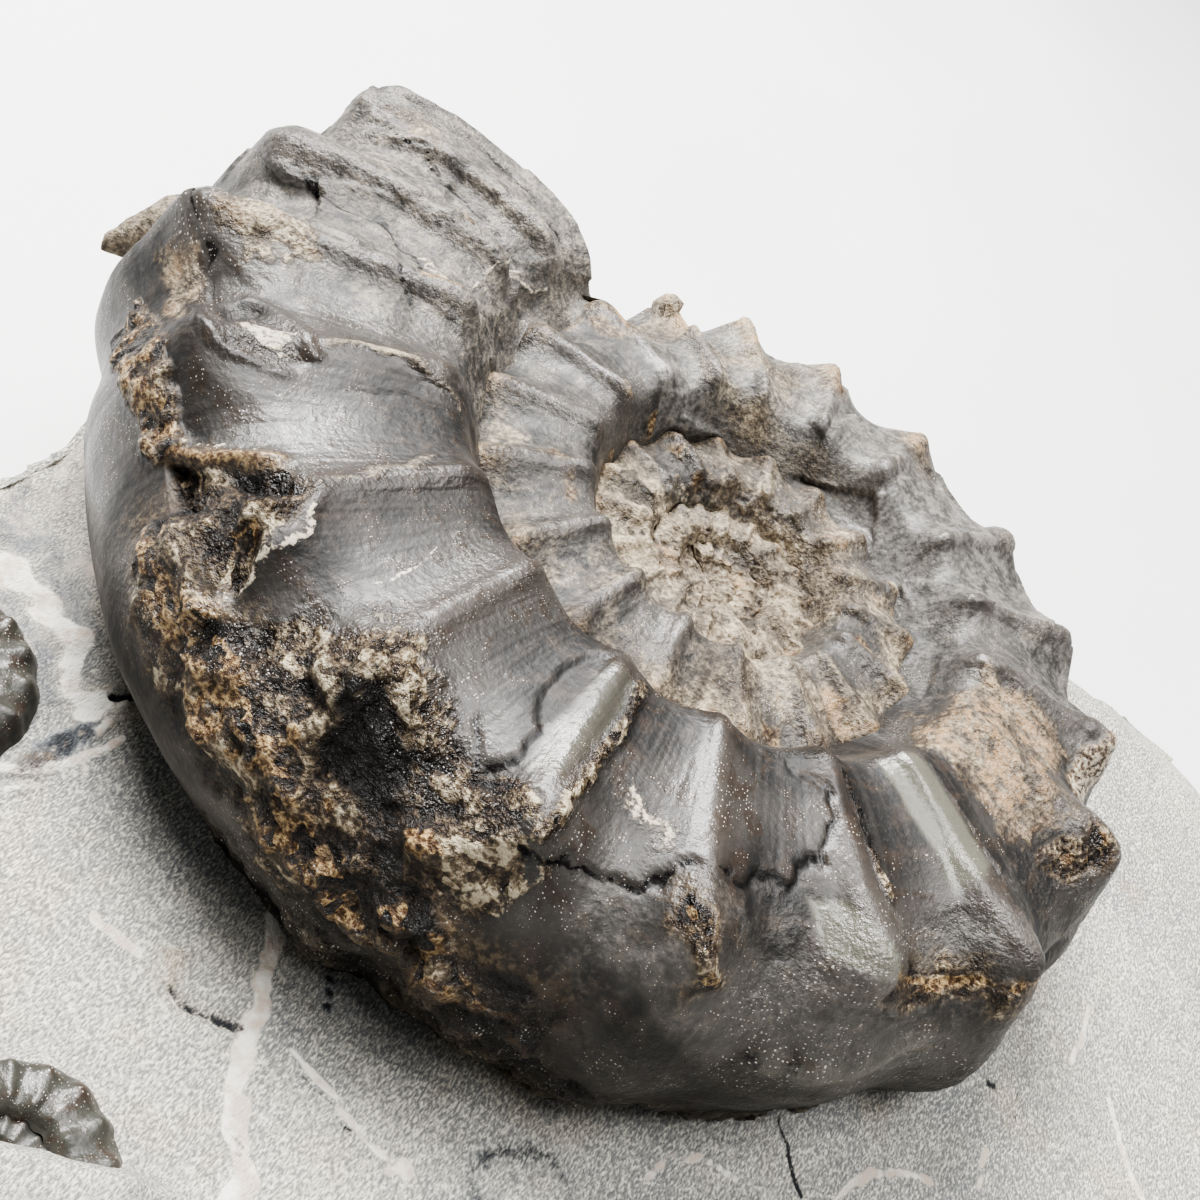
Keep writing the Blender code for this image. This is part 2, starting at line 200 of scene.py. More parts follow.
def contact_point(coil, angle, below):
    """Where the venter meets the bed, or a plane this far below it."""
    distance = np.ones_like(angle)
    for _ in range(CONTACT_STEPS):
        x, y = in_plan(coil, angle, distance)
        level = bed_plane(x, y) - below - coil.height
        inside = np.clip(level / coil_radius(coil, angle) / DEPTH, -LOWEST, LOWEST)
        distance = WAIST + BULGE * (1 - inside**2) ** ROUNDNESS
    return np.stack([x, y, bed_plane(x, y) - below], axis=-1)


def curve_through(control, places):
    """Catmull-Rom curves through control points of shape (curves, points, axes)."""
    last = control.shape[1] - 1
    start = np.minimum(places.astype(int), last - 1)
    part = (places - start)[None, :, None]
    a = control[:, np.maximum(start - 1, 0)]
    b = control[:, start]
    c = control[:, start + 1]
    d = control[:, np.minimum(start + 2, last)]
    square = 2 * a - 5 * b + 4 * c - d
    cube = -a + 3 * b - 3 * c + d
    return 0.5 * (2 * b + (c - a) * part + square * part**2 + cube * part**3)


def section_controls(coil, angles):
    """Control points of the section at each angle."""
    fade = np.clip(1 - (angles + coil.mouth) / SLANT_FADE, 0.0, 1.0) ** 2
    control = [section_point(coil, angles + TURN, FURROW[-1], CREST[-1], LEAN[-1])]
    for furrow, crest, lean, slant in zip(FURROW, CREST, LEAN, SLANT):
        at = angles + coil.slant * slant * fade
        control.append(section_point(coil, at, furrow, crest, lean))
    at = angles + coil.slant * fade
    for furrow, crest in zip(VENTER_FURROW, VENTER_CREST):
        control.append(section_point(coil, at, furrow, crest, 0.0))
    control += [contact_point(coil, at, 0.0), contact_point(coil, at, BURIED)]
    return np.stack(control, axis=1)


def spread(values, gaps, count):
    """As many of the values as asked for, spread by the sizes of the gaps between them."""
    total = np.concatenate([[0], np.cumsum(gaps)])
    return np.interp(np.linspace(0, total[-1], count), total, values)


def even_places(coil, last_place, count):
    """Places along the section that stand evenly apart."""
    fine = np.linspace(0, last_place, EVEN_SAMPLES)
    curve = curve_through(section_controls(coil, np.array([EVEN_ANGLE])), fine)[0]
    return spread(fine, np.linalg.norm(np.diff(curve, axis=0), axis=1), count)


# ---------------------------------------------------------------- noise, in millimetres

HASH_PRIMES = (374761393, 668265263, 1442695041)
HASH_FACTOR = 1274126177
HASH_SHIFTS = (13, 16)
HASH_BITS = 0xFFFFFFFF
KEPT_BITS = 0xFFFFFF


def lattice(cell, seed):
    """A random number from 0 to 1 for each whole-number cell."""
    mixed = sum(cell[..., axis] * prime for axis, prime in enumerate(HASH_PRIMES))
    mixed = (mixed + seed * HASH_FACTOR) & HASH_BITS
    mixed = ((mixed ^ (mixed >> HASH_SHIFTS[0])) * HASH_FACTOR) & HASH_BITS
    return ((mixed ^ (mixed >> HASH_SHIFTS[1])) & KEPT_BITS) / KEPT_BITS


def noise(points, size, seed):
    """Smooth noise from -1 to 1, with lumps of this size in millimetres."""
    place = points / (size * MM)
    cell = np.floor(place).astype(np.int64)
    part = place - cell
    part = part * part * (3 - 2 * part)
    total = np.zeros(points.shape[:-1])
    for corner in np.ndindex(2, 2, 2):
        offset = np.array(corner)
        weight = np.prod(np.where(offset == 1, part, 1 - part), axis=-1)
        total += weight * lattice(cell + offset, seed)
    return 2 * total - 1


def rough_noise(points, size, seed, octaves=3):
    total = np.zeros(points.shape[:-1])
    for octave in range(octaves):
        total += noise(points, size / 2**octave, seed + octave) / 2**octave
    return total


def ridges(points, size, seed):
    return 0.5 - np.abs(noise(points, size, seed))


def facets(points, size, seed):
    """A crystalline break: a tilted plane for each crystal."""
    place = points / (size * MM)
    cell = np.floor(place).astype(np.int64)
    nearest = np.full(points.shape[:-1], np.inf)
    height = np.zeros(points.shape[:-1])
    for step in np.ndindex(3, 3, 3):
        there = cell + np.array(step) - 1
        random = np.stack([lattice(there, seed + k) for k in range(3)], axis=-1)
        off = place - there - random
        away = np.linalg.norm(off, axis=-1)
        tilted = (random[..., ::-1] - 0.5) * off
        closer = away < nearest
        nearest = np.where(closer, away, nearest)
        height = np.where(closer, tilted.sum(axis=-1) + 0.5 * (random[..., 0] - 0.5), height)
    return height


def layered(points, layers):
    """Relief in millimetres from noises, each as (kind, height, size, seed)."""
    return sum(height * kind(points, *rest) for kind, height, *rest in layers)


# ---------------------------------------------------------------- features drawn on a chart


def line_distance(chart, line):
    """Signed distance to a line of points on a chart, left side positive, and the unsigned one."""
    best = np.full(chart.shape[:-1], np.inf)
    side = np.ones(chart.shape[:-1])
    for a, b in zip(line[:-1], line[1:]):
        along = b - a
        part = np.clip(((chart - a) @ along) / (along @ along), 0.0, 1.0)
        off = chart - a - part[..., None] * along
        away = np.hypot(off[..., 0], off[..., 1])
        cross = along[0] * off[..., 1] - along[1] * off[..., 0]
        closer = away < best
        best = np.where(closer, away, best)
        side = np.where(closer, np.sign(cross), side)
    return best * side, best


def area_distance(chart, corners):
    """Distance to the outline of an area, negative inside it."""
    _, away = line_distance(chart, np.vstack([corners, corners[:1]]))
    inside = np.zeros(chart.shape[:-1], bool)
    for a, b in zip(corners, np.roll(corners, -1, axis=0)):
        crosses = (a[1] > chart[..., 1]) != (b[1] > chart[..., 1])
        with np.errstate(divide="ignore", invalid="ignore"):
            at = (b[0] - a[0]) * (chart[..., 1] - a[1]) / (b[1] - a[1]) + a[0]
        inside ^= crosses & (chart[..., 0] < at)
    return np.where(inside, -away, away)


# ---------------------------------------------------------------- meshes


def quads(shape):
    """Faces of a grid, as numbers of its points."""
    ids = np.arange(shape[0] * shape[1]).reshape(shape[:2])
    corners = [ids[:-1, :-1], ids[:-1, 1:], ids[1:, 1:], ids[1:, :-1]]
    return np.stack([corner.reshape(-1) for corner in corners], axis=1)


def mesh_object(name, points, faces, material, looks=None, chart=None):
    """An object from points, an array of four-sided faces, and per-point attributes."""
    mesh = bpy.data.meshes.new(name)
    mesh.vertices.add(len(points))
    mesh.vertices.foreach_set("co", np.asarray(points, np.float32).reshape(-1))
    mesh.loops.add(faces.size)
    mesh.loops.foreach_set("vertex_index", np.asarray(faces, np.int32).reshape(-1))
    mesh.polygons.add(len(faces))
    mesh.polygons.foreach_set("loop_start", np.arange(len(faces), dtype=np.int32) * faces.shape[1])
    mesh.update(calc_edges=True)
    for key, values in (looks or {}).items():
        attribute = mesh.attributes.new(key, "FLOAT", "POINT")
        attribute.data.foreach_set("value", np.asarray(values, np.float32).reshape(-1))
    if chart is not None:
        attribute = mesh.attributes.new("chart", "FLOAT_VECTOR", "POINT")
        attribute.data.foreach_set("vector", np.asarray(chart, np.float32).reshape(-1))
    mesh.materials.append(material)
    mesh.shade_smooth()
    obj = bpy.data.objects.new(name, mesh)
    bpy.context.scene.collection.objects.link(obj)
    return obj


def grid_normals(grid):
    normal = np.cross(np.gradient(grid, axis=1), np.gradient(grid, axis=0))
    return normal / (np.linalg.norm(normal, axis=-1, keepdims=True) + TINY)


# ---------------------------------------------------------------- the shells

OUTER_STATIONS = 720
OUTER_COLUMNS = 138
INNER_STATIONS = 420  # in one turn
INNER_COLUMNS = 60
INNER_TURNS = 3
INNER_LAST_PLACE = ROW_PLACE + 0.4
OUTER_LAST_PLACE = FOOT_PLACE + 1
TOP_START = 0.0392
TOP_EASE = 0.36
NEAR_SIDE = (0.2, 3.8)  # angles of the whorl that faces the camera
NEAR_FADE = 0.3
NEAR_DENSITY = 1.8
ANGLE_SAMPLES = 4000
FAN_REACH = 0.999  # a fan stops short of its middle, so that no face shrinks to nothing
FAN_RIM = 5  # rings over which its relief sets in

# Spine of the far tubercle row, as (angle, distance, level, radius in metres).
SPINE = (
    (0.27, 0.975, -0.075, 0.0026),
    (0.28, 1.080, -0.080, 0.0027),
    (0.31, 1.160, -0.092, 0.0022),
    (0.37, 1.220, -0.110, 0.0013),
    (0.41, 1.245, -0.120, 0.0004),
)
SPINE_SIDES = 28
SPINE_STEPS = 60
SPINE_TIP = 0.0001


def dense_angles(coil, first, last, count):
    """Angles along the whorl, closer together on the side that faces the camera."""
    fine = np.linspace(first, last, ANGLE_SAMPLES)
    near = smooth_step(NEAR_SIDE[0] - NEAR_FADE, NEAR_SIDE[0], fine)
    near *= 1 - smooth_step(NEAR_SIDE[1], NEAR_SIDE[1] + NEAR_FADE, fine)
    density = coil_radius(coil, fine) * (1 + (NEAR_DENSITY - 1) * near)
    return spread(fine, density[1:] * np.diff(fine), count)


def whorl_shape(coil, angles, places):
    """Grid of points over a whorl, with the angle and place of each."""
    grid = curve_through(section_controls(coil, angles), places)
    return grid, *np.meshgrid(angles, places, indexing="ij")


def outer_whorl(coil, stations, columns):
    angles = dense_angles(coil, -coil.mouth, TURN - coil.mouth, stations)
    return whorl_shape(coil, angles, even_places(coil, OUTER_LAST_PLACE, columns))


def inner_whorls(coil, stations, columns, turns):
    """The older whorls, from the last one's seam to the middle."""
    turn = np.linspace(TURN - coil.mouth, 2 * TURN - coil.mouth, stations + 1)
    angles = np.concatenate([turn[:-1] + TURN * k for k in range(turns)])
    angles = np.append(angles, turn[-1] + TURN * (turns - 1))
    return whorl_shape(coil, angles, even_places(coil, INNER_LAST_PLACE, columns))


def moved_out(grid, height_mm):
    """The grid moved out along its normals, eased near the top to stay as low as the CAD part."""
    moved = grid + grid_normals(grid) * (height_mm * MM)[..., None]
    moved[..., 2] -= TOP_EASE * np.maximum(moved[..., 2] - TOP_START, 0.0)
    return moved


def fan(loop, rings, layers, outward):
    """Grid that closes a loop of points, with a relief that sets in from the loop."""
    share = np.linspace(0.0, 1.0, rings)[:, None, None] * FAN_REACH
    grid = loop[None] * (1 - share) + loop.mean(axis=0) * share
    height = layered(grid, layers) * smooth_step(0, FAN_RIM, np.arange(rings))[:, None]
    return grid + np.array(outward) * (height * MM)[..., None]


def spine_grid(coil):
    """Grid over the spine of the far tubercle row."""
    control = np.array([shell_place(coil, *map(np.float64, place[:3])) for place in SPINE])
    radii = np.array([place[3] for place in SPINE])
    at = np.linspace(0, len(SPINE) - 1, SPINE_STEPS)
    path = curve_through(control[None], at)[0]
    radius = np.interp(at, np.arange(len(SPINE)), radii)
    radius[-1] = SPINE_TIP
    along = path[-1] - path[0]
    along /= np.linalg.norm(along)
    side = np.cross(along, (0.0, 0.0, 1.0))
    side /= np.linalg.norm(side)
    rise = np.cross(side, along)
    turn = np.linspace(0, TURN, SPINE_SIDES + 1)
    ring = np.cos(turn)[:, None] * side + np.sin(turn)[:, None] * rise
    return path[:, None] + ring[None] * radius[:, None, None]


# ---------------------------------------------------------------- the block

BLOCK_LENGTH = 0.090
BLOCK_WIDTH = 0.086
EDGE_DROP = 0.0022
EDGE_START = 0.86  # share of the outline where the drop starts
CLEARING = (0.0034, 0.0082)  # distances from a fossil's foot over which the bed's relief sets in
# Outline from above, in millimetres.
OUTLINE = (
    (45.0, 4.0), (44.6, 19.0), (42.0, 31.0), (34.5, 40.0), (26.5, 42.8), (14.0, 43.0),
    (-3.0, 41.4), (-20.0, 39.5), (-34.0, 36.5), (-42.5, 31.5), (-45.2, 25.5), (-44.4, 19.0),
    (-40.9, 11.5), (-38.8, 5.0), (-37.6, -1.0), (-39.0, -13.0), (-35.5, -26.5), (-26.0, -37.0),
    (-11.0, -42.5), (6.0, -43.0), (22.0, -39.5), (35.0, -29.5), (42.5, -14.0),
)
# Broken side, as (share of the outline, share of the bed's height, depth of its hollows).
EDGE_RINGS = (
    (0.975, 0.985, 0.0003), (0.992, 0.93, 0.0006), (1.0, 0.80, 0.0), (0.998, 0.60, 0.0018),
    (1.0, 0.36, 0.0013), (0.985, 0.12, 0.0016), (0.965, 0.0, 0.0012),
)
# Waves of the hollows, as (turns round the block, turns down its side, height).
HOLLOW_WAVES = ((5, 9, 1.0), (13, -14, 0.7), (23, 21, 0.5))
# As (x, y, reach, height).
MOUNDS = (
    (-0.0340, 0.0010, 0.0060, 0.0012),
    (-0.0280, -0.0050, 0.0040, 0.0008),
    (0.0400, 0.0050, 0.0140, -0.0008),
    (0.0300, -0.0190, 0.0130, 0.0009),
    (0.0160, -0.0110, 0.0060, 0.0010),
)
LEDGE_EDGE = ((-0.0232, -0.0060), (-0.0210, -0.0120), (-0.0216, -0.0168), (-0.0270, -0.0245))
LEDGE_HEIGHT = 0.0013
LEDGE_FACE = 0.0022
LEDGE_FRONT = 0.006
LEDGE_BACK = (0.006, 0.016)
FOOT_JOIN = 0.7  # angle over which the coil's foot widens again to meet the mouth

BLOCK_STATIONS = 740
OUTLINE_SAMPLES = 4001
FRONT_Y = 0.018  # the camera looks at the block's outline before this
FRONT_DENSITY = 1.7
# Rings of the bed and of the base, as shares of the outline.
MIDDLE_SHARES = np.linspace(0.02, 0.30, 6)
BED_SHARES = np.linspace(0.32, 0.975, 84)
BASE_SHARES = np.array([0.6, 0.2, 0.002])
SIDE_RINGS = 40


def block_outline(stations):
    """Points of the block's outline, closer together where the camera looks."""
    corners = np.array(OUTLINE + OUTLINE[:3])[None]
    ring = curve_through(corners, np.linspace(1, 1 + len(OUTLINE), OUTLINE_SAMPLES))[0]
    low, high = ring.min(axis=0), ring.max(axis=0)
    ring = (ring - (low + high) / 2) / (high - low) * (BLOCK_LENGTH, BLOCK_WIDTH)
    middle = (ring[1:] + ring[:-1]) / 2
    density = np.where(middle[:, 1] < FRONT_Y, FRONT_DENSITY, 1.0)
    length = np.linalg.norm(np.diff(ring, axis=0), axis=1) * density
    return np.stack([spread(ring[:, axis], length, stations + 1) for axis in (0, 1)], axis=1)


def beyond_foot(coil, x, y):
    """Distance outwards from the shell's foot on the bed."""
    around = np.arctan2(y - coil.y, x - coil.x) - coil.aperture + coil.mouth
    angle = around % TURN - coil.mouth
    ahead = smooth_step(TURN - coil.mouth - FOOT_JOIN, TURN - coil.mouth, angle)
    foot = coil_radius(coil, angle) * (1 - ahead) + coil_radius(coil, -coil.mouth) * ahead
    return np.hypot(x - coil.x, y - coil.y) - FOOT * foot


def ledge_relief(x, y):
    edge_y, edge_x = np.array(sorted((y_, x_) for x_, y_ in LEDGE_EDGE)).T
    past = np.interp(y, edge_y, edge_x) - x
    front = smooth_step(edge_y[0] - LEDGE_FRONT, edge_y[0], y)
    back = 1 - smooth_step(*LEDGE_BACK, y)
    return LEDGE_HEIGHT * smooth_step(0.0, LEDGE_FACE, past) * front * back


def clear_of_fossils(x, y):
    clear = np.ones_like(x)
    for coil in (LARGE, LEFT, CORNER):
        clear *= smooth_step(*CLEARING, beyond_foot(coil, x, y))
    return clear


def mounds(x, y, places):
    """Height of round mounds, each as (x, y, reach, height)."""
    total = np.zeros_like(x)
    for mound_x, mound_y, reach, height in places:
        distance = np.hypot(x - mound_x, y - mound_y)
        total += height * np.exp(-((distance / reach) ** 2))
    return total


def side_hollows(around, part, depth):
    """Share of the outline that the hollows take off."""
    waves = [high * np.sin(turns * around + down * part) for turns, down, high in HOLLOW_WAVES]
    highest = sum(high for _, _, high in HOLLOW_WAVES)
    return depth * (highest + sum(waves)) / highest / (BLOCK_WIDTH / 2)


def block_grid():
    """Grid over the block, and how many of its rings lie on the bed."""
    outline = block_outline(BLOCK_STATIONS)
    around = np.arctan2(outline[:, 1], outline[:, 0])[:, None]
    shares = np.concatenate([MIDDLE_SHARES, BED_SHARES])[None]
    x, y = outline[:, :1] * shares, outline[:, 1:] * shares
    relief = ledge_relief(x, y) + mounds(x, y, MOUNDS)
    relief -= EDGE_DROP * smooth_step(EDGE_START, 1.0, shares)
    bed = np.stack([x, y, bed_plane(x, y) + relief * clear_of_fossils(x, y)], axis=-1)

    rings = np.linspace(0, len(EDGE_RINGS) - 1, SIDE_RINGS + 1)[1:]
    numbers = range(len(EDGE_RINGS))
    share, part, depth = [np.interp(rings, numbers, column) for column in zip(*EDGE_RINGS)]
    share = share - side_hollows(around, part, depth)
    x, y = outline[:, :1] * share, outline[:, 1:] * share
    side = np.stack([x, y, part * (bed_plane(x, y) - EDGE_DROP)], axis=-1)
    base = side[:, -1:] * BASE_SHARES[None, :, None]
    return np.concatenate([bed, side, base], axis=1), bed.shape[1]


# ---------------------------------------------------------------- what shows on the shells

CHART_STEP = (26.0, 3.6)  # millimetres along the whorl per radian, and over it per place


@dataclass(frozen=True, kw_only=True)
class Looks:
    """What the materials show, each from 0 to 1."""

    rough: float = 0.0
    amber: float = 0.0
    pale: float = 0.0
    dark: float = 0.0
    polish: float = 0.0
    worn: float = 0.0
    dusty: float = 0.0


LOOKS = tuple(field.name for field in fields(Looks))


@dataclass(frozen=True)
class Zone(Looks):
    """An area. Corners are (angle, place); lengths are in millimetres."""

    corners: tuple
    edge: float = 0.5  # it fades in over this
    ragged: float = 0.4  # how far its edge wanders
    sink: float = 0.0


@dataclass(frozen=True)
class Mark(Looks):
    """A line of (angle, place): a groove, ridge, vein or the edge of a flake."""

    points: tuple
    width: float = 0.35
    ragged: float = 0.15
    height: float = 0.0  # of the ridge, or below 0 of the groove
    step: float = 0.0  # the shell on the line's left stands this much higher
    reach: float = 2.5  # and that dies out over this


OUTER_ZONES = (
    # Dustier, rubbed shell towards the mouth.
    Zone(((-0.4, -1.0), (0.75, -1.0), (0.75, 3.0), (0.55, 5.4), (-0.4, 6.4)), edge=7.0, ragged=2.5,
         dusty=0.6, worn=0.32, rough=0.2),
    # Light film low on the near side.
    Zone(((1.95, 5.0), (2.6, 4.8), (2.95, 4.4), (2.95, 6.0), (2.1, 6.2)), edge=4.0, ragged=2.0,
         dusty=0.3, worn=0.12),
    # Underside of the last whorl, darkened: partly its own dark band, partly painted shade.
    Zone(((1.9, 6.4), (2.2, 6.0), (2.6, 6.6), (3.4, 6.6), (3.4, 10.5), (1.4, 10.5), (1.4, 8.4)),
         edge=5.0, ragged=2.0, dark=0.52, rough=0.15),
    # Chipped shell low on the right.
    Zone(((2.2, 4.6), (2.9, 4.3), (3.6, 4.2), (3.7, 6.4), (2.4, 6.6)), edge=4.0, ragged=2.0, rough=0.22,
         worn=0.15),
    # Oval scar with a pale floor.
    Zone(((0.85, 4.95), (0.79, 4.85), (0.79, 4.5), (0.85, 4.1), (0.92, 4.0), (0.95, 4.3), (0.93, 4.7),
          (0.89, 4.9)), ragged=0.2, sink=0.4, rough=0.3),
    Zone(((0.86, 4.7), (0.83, 4.5), (0.87, 4.15), (0.92, 4.1), (0.93, 4.3), (0.9, 4.6)), pale=0.62),
    # Wrinkled strip beside it.
    Zone(((0.7, 6.3), (0.78, 5.9), (0.9, 5.5), (1.05, 5.4), (1.06, 5.9), (0.92, 6.1), (0.8, 6.6),
          (0.71, 6.9)), edge=0.3, sink=-0.25, rough=0.8, amber=0.6, pale=0.25),
    # Three-cornered break in the flank.
    Zone(((1.07, 5.7), (1.09, 5.4), (1.14, 5.0), (1.15, 4.4), (1.22, 4.2), (1.27, 4.5), (1.31, 5.0),
          (1.33, 5.5), (1.3, 5.6), (1.25, 5.7), (1.16, 5.8)), edge=0.35, ragged=0.25, sink=0.75,
         rough=0.9, polish=0.3, amber=0.4),
    Zone(((1.12, 5.2), (1.17, 5.0), (1.2, 4.5), (1.17, 4.4), (1.13, 4.9)), edge=0.4, sink=0.25,
         dark=0.5),
    Zone(((1.27, 5.4), (1.3, 5.5), (1.31, 5.0), (1.27, 4.9)), sink=0.2, amber=0.8, dark=0.3),
    # Rough area with the dark break at its top.
    Zone(((1.41, 5.0), (1.44, 4.6), (1.49, 4.2), (1.58, 4.3), (1.72, 4.5), (1.87, 4.8), (1.93, 5.2),
          (1.91, 5.8), (1.86, 6.3), (1.83, 7.1), (1.78, 7.8), (1.7, 7.8), (1.62, 7.7), (1.54, 7.3),
          (1.44, 7.1), (1.35, 6.9), (1.29, 6.5), (1.27, 6.1), (1.32, 5.8), (1.4, 5.7)), edge=1.6,
         ragged=1.0, sink=0.2, rough=0.8),
    Zone(((1.43, 5.3), (1.44, 4.8), (1.5, 4.2), (1.56, 4.3), (1.58, 4.8), (1.66, 4.9), (1.61, 5.5),
          (1.52, 5.7)), edge=1.8, ragged=0.7, sink=0.35, rough=1.0, dark=0.3),
    Zone(((1.54, 5.0), (1.64, 4.8), (1.72, 5.2), (1.72, 6.0), (1.6, 5.9)), edge=2.4, ragged=0.8,
         sink=0.35, dark=0.85),
    # Crumbly contact with the bed.
    Zone(((1.5, 8.2), (1.75, 7.9), (1.9, 7.9), (2.1, 7.7), (2.3, 8.1), (2.6, 8.4), (2.95, 8.7),
          (2.95, 10.5), (1.4, 10.5)), edge=0.9, ragged=0.8, sink=-0.1, rough=0.9, amber=0.35),
    # Sugary tan patch on the right flank.
    Zone(((2.98, 1.6), (3.03, 2.6), (3.06, 3.6), (3.18, 4.0), (3.34, 3.9), (3.52, 3.9), (3.58, 3.0),
          (3.4, 1.6), (3.2, 1.2)), edge=2.5, ragged=1.6, rough=0.2, worn=0.85, amber=0.6),
    # Olive strip and facet, polished.
    Zone(((2.7, 2.0), (2.86, 2.0), (2.88, 3.0), (2.9, 3.9), (2.78, 4.1), (2.72, 3.0)), ragged=0.2,
         sink=0.1, polish=1.0),
    Zone(((2.4, 4.2), (2.47, 4.2), (2.55, 4.8), (2.6, 5.2), (2.52, 5.2), (2.44, 4.8)), edge=0.4,
         ragged=0.15, sink=0.1, polish=1.0),
    # Bright smooth plate between the flake edges.
    Zone(((1.8, 2.4), (1.88, 2.4), (1.89, 3.4), (1.87, 4.4), (1.81, 4.4), (1.8, 3.4)), edge=0.4,
         ragged=0.1, polish=0.5),
    # Rust pocket with a cream rim, and its neighbours low on the right flank.
    Zone(((2.6, 5.0), (2.7, 5.2), (2.86, 5.1), (2.88, 5.5), (2.72, 5.7), (2.58, 5.4)), edge=1.3,
         ragged=1.0, sink=0.15, rough=0.7, amber=0.45),
    Zone(((3.44, 4.5), (3.58, 4.5), (3.66, 5.0), (3.62, 5.6), (3.48, 5.6), (3.42, 5.0)), edge=0.6,
         ragged=0.5, sink=-0.2, rough=0.4, pale=0.55, amber=0.7),
    Zone(((3.12, 4.4), (3.3, 4.5), (3.32, 5.1), (3.16, 5.1)), edge=1.3, ragged=1.0, sink=0.3, rough=0.7,
         amber=0.5),
    # Patches by the mouth.
    Zone(((0.48, 2.0), (0.53, 2.2), (0.54, 2.8), (0.49, 2.9), (0.46, 2.5)), edge=0.3, amber=0.9,
         pale=0.3),
    Zone(((0.54, 4.0), (0.66, 4.1), (0.69, 4.7), (0.58, 4.8)), edge=0.8, ragged=0.7, sink=0.15,
         rough=0.55, amber=0.25, worn=0.6),
    Zone(((0.66, 5.2), (0.74, 5.3), (0.8, 5.5), (0.76, 5.8), (0.66, 5.7)), edge=0.9, ragged=0.6,
         worn=0.8, amber=0.35),
)

